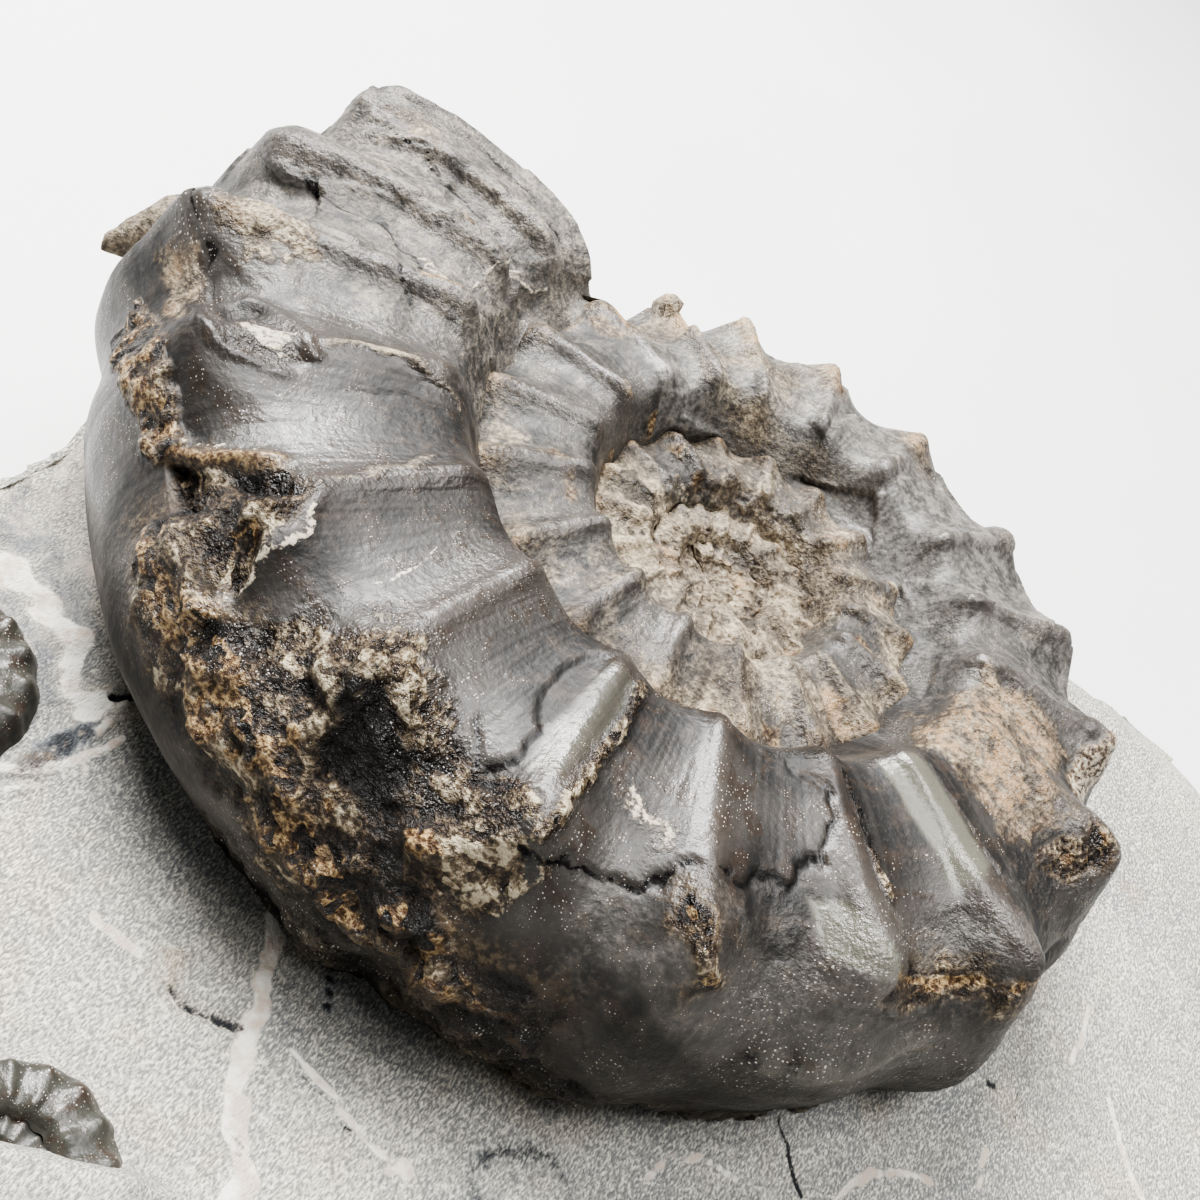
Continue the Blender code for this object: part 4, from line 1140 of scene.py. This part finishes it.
DUSTY_SHARE = ({"broad": 1, "middle": 1.2}, 0.92, 1.40)
ROCK_GREY_SHARE = ({"middle": 1}, 0.50, 0.72, 0.0, 0.45)
ROCK_BLUE_SHARE = ({"clouds": 1}, 0.52, 0.70, 0.0, 0.45)
ROCK_TAN_SHARE = ({"clouds": 1}, 0.48, 0.32, 0.0, 0.40)
ROCK_DARK_SHARE = ({"stipple": 1}, 0.49, 0.62, 0.0, 0.70)
ROCK_LIGHT_SHARE = ({"stipple": 1}, 0.47, 0.37, 0.0, 0.75)
ROCK_VEIN_SHARE = ({"pale": 1, "middle": 0.8, "stipple": 0.5}, 1.06, 1.22, 0.0, 0.95)
ROCK_CRACK_AND_SHADE_SHARE = ({"dark": 1, "middle": 0.5, "stipple": 0.3}, 0.68, 0.98)
VEIN_TAN_SHARE = ({"middle": 1}, 0.42, 0.62)
CREST_SHARE, POLISH_SHARE = 0.22, 0.70
ROCK_CREAM_SHARE, ROCK_SHELL_AND_SHADE_SHARE = 0.7, 0.85

# Sizes and edge of dust specks, given like a coat's share.
SPECK_SIZE, SPECK_EDGE = ({"chance": 1}, 0.45, 1.0, 0.0, 0.26), (0.0, 0.02, 0.0, 0.8)

# Factors of the sources that choose a tone. The raised share makes a break's hollows darker and its tops
# lighter: painted shade and light over the crystal's own tones.
CRYSTAL_AND_SHADE = {"raised": 0.42, "fleck": 0.22, "grit": 0.80}
SUGAR_AND_SHADE = {"fleck": 0.08, "grit": 0.75, "growth": 0.25, "raised": 0.30}

# Roughness, and relief in millimetres, given in the same two ways.
PLAIN_DULLNESS = ({"broad": 1, "middle": 0.4, "crest": 0.35}, 0.50, 0.95, 0.60, 0.35)
SHELL_DULLNESS = {
    "plain": 1, "rubbed": 0.20, "flecked": 0.10, "polish": -0.20, "film": 0.08, "broken": -0.12,
}
LOOSE_WORN = 0.5  # worn shell has this share of a break's relief
LOOSE_RELIEF = {"face": 0.6, "grit": 0.45}
SHELL_RELIEF = {"loose": 1, "grit": 0.045, "growth": 0.04, "middle": 0.05}
STIPPLE_DULLNESS = ({"stipple": 1}, 0.3, 0.7, 0.92, 0.78)
ROCK_DULLNESS = {"plain": 1, "polish": -0.35}
ROCK_RELIEF = {"stipple": 0.13, "middle": 0.15}
FLOOR_DULLNESS = (0.0, 1.0, 0.6, 0.75)


class Tree:
    """A material's node tree. A method adds the nodes that it names and gives their output."""

    def __init__(self, name):
        self.material = bpy.data.materials.new(name)
        self.material.use_nodes = True
        self.tree = self.material.node_tree
        self.shader = self.tree.nodes["Principled BSDF"]
        place = self.tree.nodes.new("ShaderNodeTexCoord").outputs["Object"]
        scaled = self.add("VectorMath", {0: place, "Scale": 1 / MM}, operation="SCALE")
        self.mm = scaled.outputs[0]  # places in millimetres

    def put(self, target, value):
        """Links an input to a socket, or sets it to a value."""
        if isinstance(value, bpy.types.NodeSocket):
            self.tree.links.new(value, target)
        else:
            target.default_value = value

    def add(self, kind, inputs, **settings):
        made = self.tree.nodes.new("ShaderNode" + kind)
        for key, value in settings.items():
            setattr(made, key, value)
        for key, value in inputs.items():
            self.put(made.inputs[key], value)
        return made

    def painted(self, name, output="Fac"):
        return self.add("Attribute", {}, attribute_name=name).outputs[output]

    def mix(self, share, first, second):
        """Colour between two colours."""
        pair = [c if isinstance(c, bpy.types.NodeSocket) else (*c, 1.0) for c in (first, second)]
        inputs = {MIX_SHARE: share, MIX_FIRST: pair[0], MIX_SECOND: pair[1]}
        return self.add("Mix", inputs, data_type="RGBA").outputs[MIX_RESULT]

    def coated(self, colour, *coats):
        """A colour under coats of (share, colour), the last one on top."""
        for share, coat in coats:
            colour = self.mix(share, colour, coat)
        return colour

    def math(self, operation, first, second):
        return self.add("Math", {0: first, 1: second}, operation=operation).outputs[0]

    def times(self, first, second):
        return self.math("MULTIPLY", first, second)

    def blend(self, look, factors):
        """Sum of some of a look's sources, each times its factor."""
        terms = []
        for name, factor in factors.items():
            source = getattr(look, name)
            terms.append(source if factor == 1 else self.times(source, factor))
        whole = terms[0]
        for term in terms[1:]:
            whole = self.math("ADD", whole, term)
        return whole

    def span(self, value, low, high, to_low=0.0, to_high=1.0):
        """Value brought smoothly from one range to another."""
        ends = {"From Min": low, "From Max": high, "To Min": to_low, "To Max": to_high}
        made = self.add("MapRange", {"Value": value, **ends}, interpolation_type="SMOOTHSTEP")
        return made.outputs["Result"]

    def share(self, look, factors, *ends):
        return self.span(self.blend(look, factors), *ends)

    def grain(self, vector, per_mm, detail, roughness, flat=True):
        """Noise, on a flat chart or in space."""
        inputs = {"Vector": vector, "Scale": per_mm, "Detail": detail, "Roughness": roughness}
        made = self.add("TexNoise", inputs, noise_dimensions="2D" if flat else "3D")
        return made.outputs["Fac"]

    def stretched(self, vector, per_mm, turn=0.0):
        inputs = {"Vector": vector, "Rotation": (0.0, 0.0, turn), "Scale": per_mm}
        return self.add("Mapping", inputs).outputs[0]

    def cells(self, vector, per_mm):
        """Outputs of flat cells, and a random number of each cell."""
        inputs = {"Vector": vector, "Scale": per_mm}
        made = self.add("TexVoronoi", inputs, voronoi_dimensions="2D").outputs
        return made, self.add("SeparateColor", {"Color": made["Color"]}).outputs[0]

    def tilted(self, vector, cell):
        """Height of crystals, each with a face that tilts its own way."""
        off = self.add("VectorMath", {0: vector, 1: cell["Position"]}, operation="SUBTRACT")
        middle = (0.5, 0.5, 0.5)
        tilt = self.add("VectorMath", {0: cell["Color"], 1: middle}, operation="SUBTRACT")
        faces = {0: off.outputs[0], 1: tilt.outputs[0]}
        return self.add("VectorMath", faces, operation="DOT_PRODUCT").outputs["Value"]

    def tones(self, value, stops):
        """Colour by value, through (place, colour) stops."""
        made = self.add("ValToRGB", {"Fac": value})
        ramp = made.color_ramp
        while len(ramp.elements) < len(stops):
            ramp.elements.new(0.5)
        for element, (place, colour) in zip(ramp.elements, stops):
            element.position = place
            element.color = (*colour, 1.0)
        return made.outputs["Color"]

    def finish(self, colour, roughness, relief_mm):
        """The material, with its colour, roughness and bump brought to the shader."""
        bump = self.add("Bump", {"Strength": 1.0, "Distance": MM, "Height": relief_mm})
        found = {"Base Color": colour, "Roughness": roughness, "Normal": bump.outputs["Normal"]}
        for name, value in found.items():
            self.put(self.shader.inputs[name], value)
        return self.material


def shell_sources(tree):
    """The painted looks and the noises that make up the shell's material, by name."""
    found = {name: tree.painted(name) for name in (*LOOKS, "crest", "raised")}
    chart = tree.painted("chart", "Vector")
    crystals, fleck = tree.cells(chart, CRYSTALS_PER_MM)
    specks, chance = tree.cells(chart, SPECKS_PER_MM)
    return SimpleNamespace(
        **found,
        broad=tree.grain(chart, *SHELL_BROAD),
        middle=tree.grain(chart, *SHELL_MIDDLE),
        grit=tree.grain(tree.mm, *SHELL_GRIT, flat=False),
        growth=tree.grain(tree.stretched(chart, GROWTH_STRETCH), *SHELL_GROWTH),
        face=tree.tilted(chart, crystals), fleck=fleck,
        speck=specks["Distance"], chance=chance,
    )


def whole_shell(tree, look, dark, grey, brown):
    """Colour of unbroken shell under its film of dust."""
    return tree.coated(
        tree.mix(tree.share(look, *GREY_SHARE), dark, grey),
        (tree.share(look, *BROWN_SHARE), brown),
        (tree.share(look, *LINE_SHARE), grey),
        (tree.share(look, *GRIME_SHARE), GRIME),
        (tree.times(look.crest, CREST_SHARE), RUBBED_CREST),
        (tree.times(look.polish, POLISH_SHARE), POLISHED),
        (look.film, FILM),
    )


def with_crystal(tree, look, colour):
    """The colour with dark and resin-coloured crystal where the shell is broken, painted darker in the
    break's hollows and lighter on its tops as shade and light.
    """
    crystal = tree.tones(tree.blend(look, CRYSTAL_AND_SHADE), CRYSTAL_TONES)
    resin = tree.tones(look.grit, RESIN_TONES)
    glint = tree.share(look, *GLINT_SHARE)
    whole = tree.math("SUBTRACT", 1.0, look.broken)
    crystal = tree.mix(glint, crystal, resin)
    return tree.coated(colour, (look.broken, crystal), (tree.times(look.amber, whole), resin))


def with_wear(tree, look, colour):
    """The colour with tan sugary crystal where the shell is rubbed down, rusty in places, painted darker
    in its hollows and lighter on its tops as shade and light.
    """
    sugar = tree.blend(look, SUGAR_AND_SHADE)
    rust = tree.times(tree.times(look.amber, look.rubbed), tree.share(look, *RUST_SHARE))
    return tree.coated(colour, (look.rubbed, tree.tones(sugar, SUGAR_TONES)), (rust, RUST))


def dust_share(tree, look):
    """Small round specks, more of them in some patches."""
    patch = tree.share(look, *DUSTY_SHARE)
    size = tree.times(tree.share(look, *SPECK_SIZE), patch)
    return tree.span(tree.math("SUBTRACT", size, look.speck), *SPECK_EDGE)


def shell_relief(tree, look):
    """Growth lines and grit, with loose crystals where the shell is broken or worn."""
    share = tree.math("MAXIMUM", look.rough, tree.times(look.worn, LOOSE_WORN))
    look.loose = tree.times(tree.blend(look, LOOSE_RELIEF), share)
    return tree.blend(look, SHELL_RELIEF)


def shell_material(name, *tones):
    tree = Tree(name)
    look = shell_sources(tree)
    look.film = tree.times(look.dusty, tree.share(look, *FILM_SHARE))
    look.broken = tree.share(look, *BROKEN_SHARE)
    look.rubbed = tree.share(look, *RUBBED_SHARE)
    colour = with_crystal(tree, look, whole_shell(tree, look, *tones))
    colour = tree.coated(
        with_wear(tree, look, colour),
        (tree.share(look, *CREAM_SHARE), CREAM),
        # Near-black cracks and dark lines, with the painted shade of the wall, the seams and the
        # underside.
        (tree.share(look, *CRACK_AND_SHADE_SHARE), CRACK_AND_SHADE),
        (dust_share(tree, look), DUST),
    )
    look.plain = tree.share(look, *PLAIN_DULLNESS)
    look.flecked = tree.times(look.broken, look.fleck)
    dull = tree.blend(look, SHELL_DULLNESS)
    relief = shell_relief(tree, look)
    tree.shader.inputs["IOR"].default_value = SHELL_IOR
    return tree.finish(colour, dull, relief)


def rock_sources(tree):
    """The painted looks and the noises that make up the stone's material, by name."""
    found = {name: tree.painted(name) for name in ("rough", "amber", "pale", "dark", "polish")}
    broad, middle, clouds = [
        tree.grain(tree.mm, *noise, flat=False) for noise in (ROCK_BROAD, ROCK_MIDDLE, ROCK_CLOUDS)
    ]
    stretched = tree.stretched(tree.mm, STIPPLE_STRETCH, STIPPLE_TURN)
    stipple = tree.grain(stretched, *ROCK_STIPPLE, flat=False)
    return SimpleNamespace(**found, broad=broad, middle=middle, clouds=clouds, stipple=stipple)


def limestone_material():
    tree = Tree("limestone")
    look = rock_sources(tree)
    vein = tree.mix(tree.share(look, *VEIN_TAN_SHARE), VEIN_WHITE, VEIN_TAN)
    colour = tree.coated(
        tree.tones(look.broad, ROCK_TONES),
        (tree.share(look, *ROCK_GREY_SHARE), ROCK_GREY),
        (tree.share(look, *ROCK_BLUE_SHARE), ROCK_BLUE),
        (tree.share(look, *ROCK_TAN_SHARE), ROCK_TAN),
        (tree.times(look.rough, ROCK_CREAM_SHARE), ROCK_CREAM),
        (tree.share(look, *ROCK_DARK_SHARE), ROCK_DARK),
        (tree.share(look, *ROCK_LIGHT_SHARE), ROCK_LIGHT),
        # Blue-grey shell, and the painted shade beside the shells' feet and beside the vein.
        (tree.times(look.polish, ROCK_SHELL_AND_SHADE_SHARE), ROCK_SHELL_AND_SHADE),
        (look.amber, ROCK_RUST),
        (tree.share(look, *ROCK_VEIN_SHARE), vein),
        # Near-black cracks and lines, with a painted shadow line beside a shell section.
        (tree.share(look, *ROCK_CRACK_AND_SHADE_SHARE), ROCK_CRACK_AND_SHADE),
    )
    look.plain = tree.share(look, *STIPPLE_DULLNESS)
    dull = tree.blend(look, ROCK_DULLNESS)
    return tree.finish(colour, dull, tree.blend(look, ROCK_RELIEF))


def floor_material():
    tree = Tree("floor")
    soft = tree.grain(tree.mm, *FLOOR_SOFT)
    tree.put(tree.shader.inputs["Base Color"], tree.mix(soft, FLOOR_DARK, FLOOR_LIGHT))
    tree.put(tree.shader.inputs["Roughness"], tree.span(soft, *FLOOR_DULLNESS))
    return tree.material
# ---------------------------------------------------------------- pieces

SMALL_OUTER = (300, 40)  # stations and columns
SMALL_INNER = (160, 24, 2)  # and turns
CENTRE_RINGS = 24
MOUTH_RINGS = 40
MOUTH_OUTWARD = (0.3, 0.95, 0.0)
MOUTH_RAISED = (-0.6, 0.6)
CENTRE_LOOKS = {"worn": 0.8, "rough": 0.3}
MOUTH_LOOKS = {"rough": 0.4, "worn": 0.9}
SPINE_LOOKS = {"worn": 1.0, "pale": 0.35}
UP = (0.0, 0.0, 1.0)
CHART_RADIUS = 0.8  # share of the row radius where lengths along the whorl are true
PLACE_LENGTH = 0.13  # of the row radius, from one place to the next
RIM_SPAN = (0.93, 0.99)  # share of the bed's rings over which its relief dies out
FLAT_RINGS = 3  # of the base
LARGE_TONES = ((0.010, 0.009, 0.008), (0.062, 0.056, 0.050), (0.042, 0.028, 0.019))
SMALL_TONES = ((0.020, 0.020, 0.016), (0.060, 0.060, 0.050), (0.060, 0.040, 0.030))


def painted(looks, shape):
    """Every look that the materials read, over the whole surface."""
    full = {"crest": 0.0, "raised": 0.5, **{name: 0.0 for name in LOOKS}, **looks}
    return {name: np.broadcast_to(value, shape) for name, value in full.items()}


def add_sheet(name, grid, looks, material, node_name, chart=None, flip=False):
    """A piece made of one grid, in the place of a part's node."""
    faces = quads(grid.shape)
    if flip:
        faces = faces[:, ::-1]
    looks = painted(looks, grid.shape[:2])
    obj = mesh_object(name, grid.reshape(-1, 3), faces, material, looks, chart)
    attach(obj, "root")
    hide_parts(node_name)


def add_whorl(name, coil, shape, detail, material, node_name, slot_name):
    """A piece over a coil, charted in millimetres along and across the whorl."""
    grid, angle, place = shape
    height, looks = detail(grid, angle, place)
    moved = moved_out(grid, height)
    radius = coil_radius(coil, angle) / MM
    along = -radius * TURN / math.log(EXPANSION) * CHART_RADIUS
    chart = np.stack([along, radius * place * PLACE_LENGTH, np.zeros_like(angle)], axis=-1)
    add_sheet(name, moved, looks, material, node_name, chart)
    return moved


def add_cap(name, grid, looks, material):
    """A piece of the large shell that closes or stands on the whorls."""
    x, y, z = np.moveaxis(grid, -1, 0) / MM
    chart = np.stack([x + y, z - y, np.zeros_like(x)], axis=-1)
    add_sheet(name, grid, looks, material, "ammonite", chart)


def add_centre(inner, places, material):
    """Closes the middle of the coil, from the inner edge of the older whorls."""
    row = np.searchsorted(places, ROW_PLACE)
    seam = inner[-1 - INNER_STATIONS :, 0]
    loop = np.concatenate([seam, inner[-1, 1 : row + 1], seam[:1]])
    grid = fan(loop, CENTRE_RINGS, CENTRE_LUMPS, UP)
    add_cap("ammonite_centre", grid, CENTRE_LOOKS, material)


def add_mouth(outer, places, material):
    """Closes the mouth, from the end of the last whorl and the whorl behind it."""
    row = np.searchsorted(places, ROW_PLACE)
    loop = np.concatenate([outer[0], outer[-1, :row:-1], outer[0, :1]])
    grid = fan(loop, MOUTH_RINGS, BREAK, MOUTH_OUTWARD)
    raised = smooth_step(*MOUTH_RAISED, layered(grid, BREAK))
    add_cap("ammonite_mouth", grid, {**MOUTH_LOOKS, "raised": raised}, material)


def add_spine(material):
    grid = spine_grid(LARGE)
    grid = moved_out(grid, layered(grid, SPINE_LUMPS))
    add_cap("ammonite_spine", grid, SPINE_LOOKS, material)


def add_shell(material):
    target = ("ammonite", "shell_calcite")
    newest = outer_whorl(LARGE, OUTER_STATIONS, OUTER_COLUMNS)
    older = inner_whorls(LARGE, INNER_STATIONS, INNER_COLUMNS, INNER_TURNS)
    outer = add_whorl("ammonite_outer_whorl", LARGE, newest, outer_detail, material, *target)
    inner = add_whorl("ammonite_inner_whorls", LARGE, older, inner_detail, material, *target)
    add_centre(inner, older[2][0], material)
    add_mouth(outer, newest[2][0], material)
    add_spine(material)


def add_small_shell(name, coil, material):
    target = (name, "small_shells")
    shape = outer_whorl(coil, *SMALL_OUTER)
    add_whorl(name + "_outer_whorl", coil, shape, small_detail, material, *target)
    shape = inner_whorls(coil, *SMALL_INNER)
    add_whorl(name + "_inner_whorls", coil, shape, small_detail, material, *target)


def add_block(material):
    grid, on_bed = block_grid()
    height, looks = bed_detail(grid)
    bed = np.zeros(grid.shape[1])
    bed[:on_bed] = 1 - smooth_step(*RIM_SPAN, np.linspace(0, 1, on_bed))
    grid[..., 2] += height * bed * MM
    inward = np.minimum((layered(grid, SIDE_CHIPS) - SIDE_DEPTH) * (1 - bed), 0.0)
    inward[:, -FLAT_RINGS:] = 0.0
    reach = np.linalg.norm(grid[..., :2], axis=-1, keepdims=True)
    grid[..., :2] += grid[..., :2] / reach * (inward * MM)[..., None]
    looks = {name: value * bed for name, value in looks.items()}
    add_sheet("matrix_stone", grid, looks, material, "matrix", flip=True)


# ---------------------------------------------------------------- floor, camera and light

FLOOR_REACH = 1.5
CAMERA_PLACE = (-0.0040047, -0.0454157, 0.0803307)
CAMERA_RIGHT = (0.7713, 0.4551, 0.4450)
CAMERA_UP = (-0.6343, 0.4924, 0.5960)
CAMERA_LENS = 41.8  # in millimetres, as is the sensor's width
CAMERA_SENSOR = 36.0
CAMERA_NEAR = 0.001
SKY = (0.97, 0.98, 1.0, 1.0)
SKY_STRENGTH = 0.26
LAMP_TARGET = (0.0, 0.0, 0.03)
# As (name, place, size, power).
LAMPS = (
    ("key", (-0.28, 0.17, 0.42), 0.30, 5.8),
    ("top", (0.10, 0.02, 0.55), 0.34, 2.6),
)


def add_floor():
    corners = np.array([(x, y, 0.0) for x, y in ((-1, -1), (1, -1), (1, 1), (-1, 1))]) * FLOOR_REACH
    floor = mesh_object("floor", corners, np.array([[0, 1, 2, 3]]), floor_material())


def add_camera():
    data = bpy.data.cameras.new("photo")
    data.lens = CAMERA_LENS
    data.sensor_width = CAMERA_SENSOR
    data.clip_start = CAMERA_NEAR
    camera = bpy.data.objects.new("photo", data)
    right, up = Vector(CAMERA_RIGHT).normalized(), Vector(CAMERA_UP)
    back = right.cross(up).normalized()
    turned = Matrix((right, back.cross(right), back)).transposed().to_4x4()
    camera.matrix_world = Matrix.Translation(CAMERA_PLACE) @ turned
    bpy.context.scene.collection.objects.link(camera)
    bpy.context.scene.camera = camera


def add_lamp(name, place, size, power):
    data = bpy.data.lights.new(name, "AREA")
    data.shape = "DISK"
    data.size = size
    data.energy = power
    lamp = bpy.data.objects.new(name, data)
    turned = (Vector(LAMP_TARGET) - Vector(place)).to_track_quat("-Z", "Y").to_matrix().to_4x4()
    lamp.matrix_world = Matrix.Translation(place) @ turned
    bpy.context.scene.collection.objects.link(lamp)


def add_light():
    bpy.context.scene.view_settings.look = "AgX - High Contrast"
    world = bpy.data.worlds.new("studio")
    world.use_nodes = True
    sky = world.node_tree.nodes["Background"]
    sky.inputs["Color"].default_value = SKY
    sky.inputs["Strength"].default_value = SKY_STRENGTH
    bpy.context.scene.world = world
    for lamp in LAMPS:
        add_lamp(*lamp)


add_shell(shell_material("shell_calcite", *LARGE_TONES))
small_shells = shell_material("small_shells", *SMALL_TONES)
add_small_shell("side_ammonite", LEFT, small_shells)
add_small_shell("corner_ammonite", CORNER, small_shells)
add_block(limestone_material())
add_floor()
add_camera()
add_light()
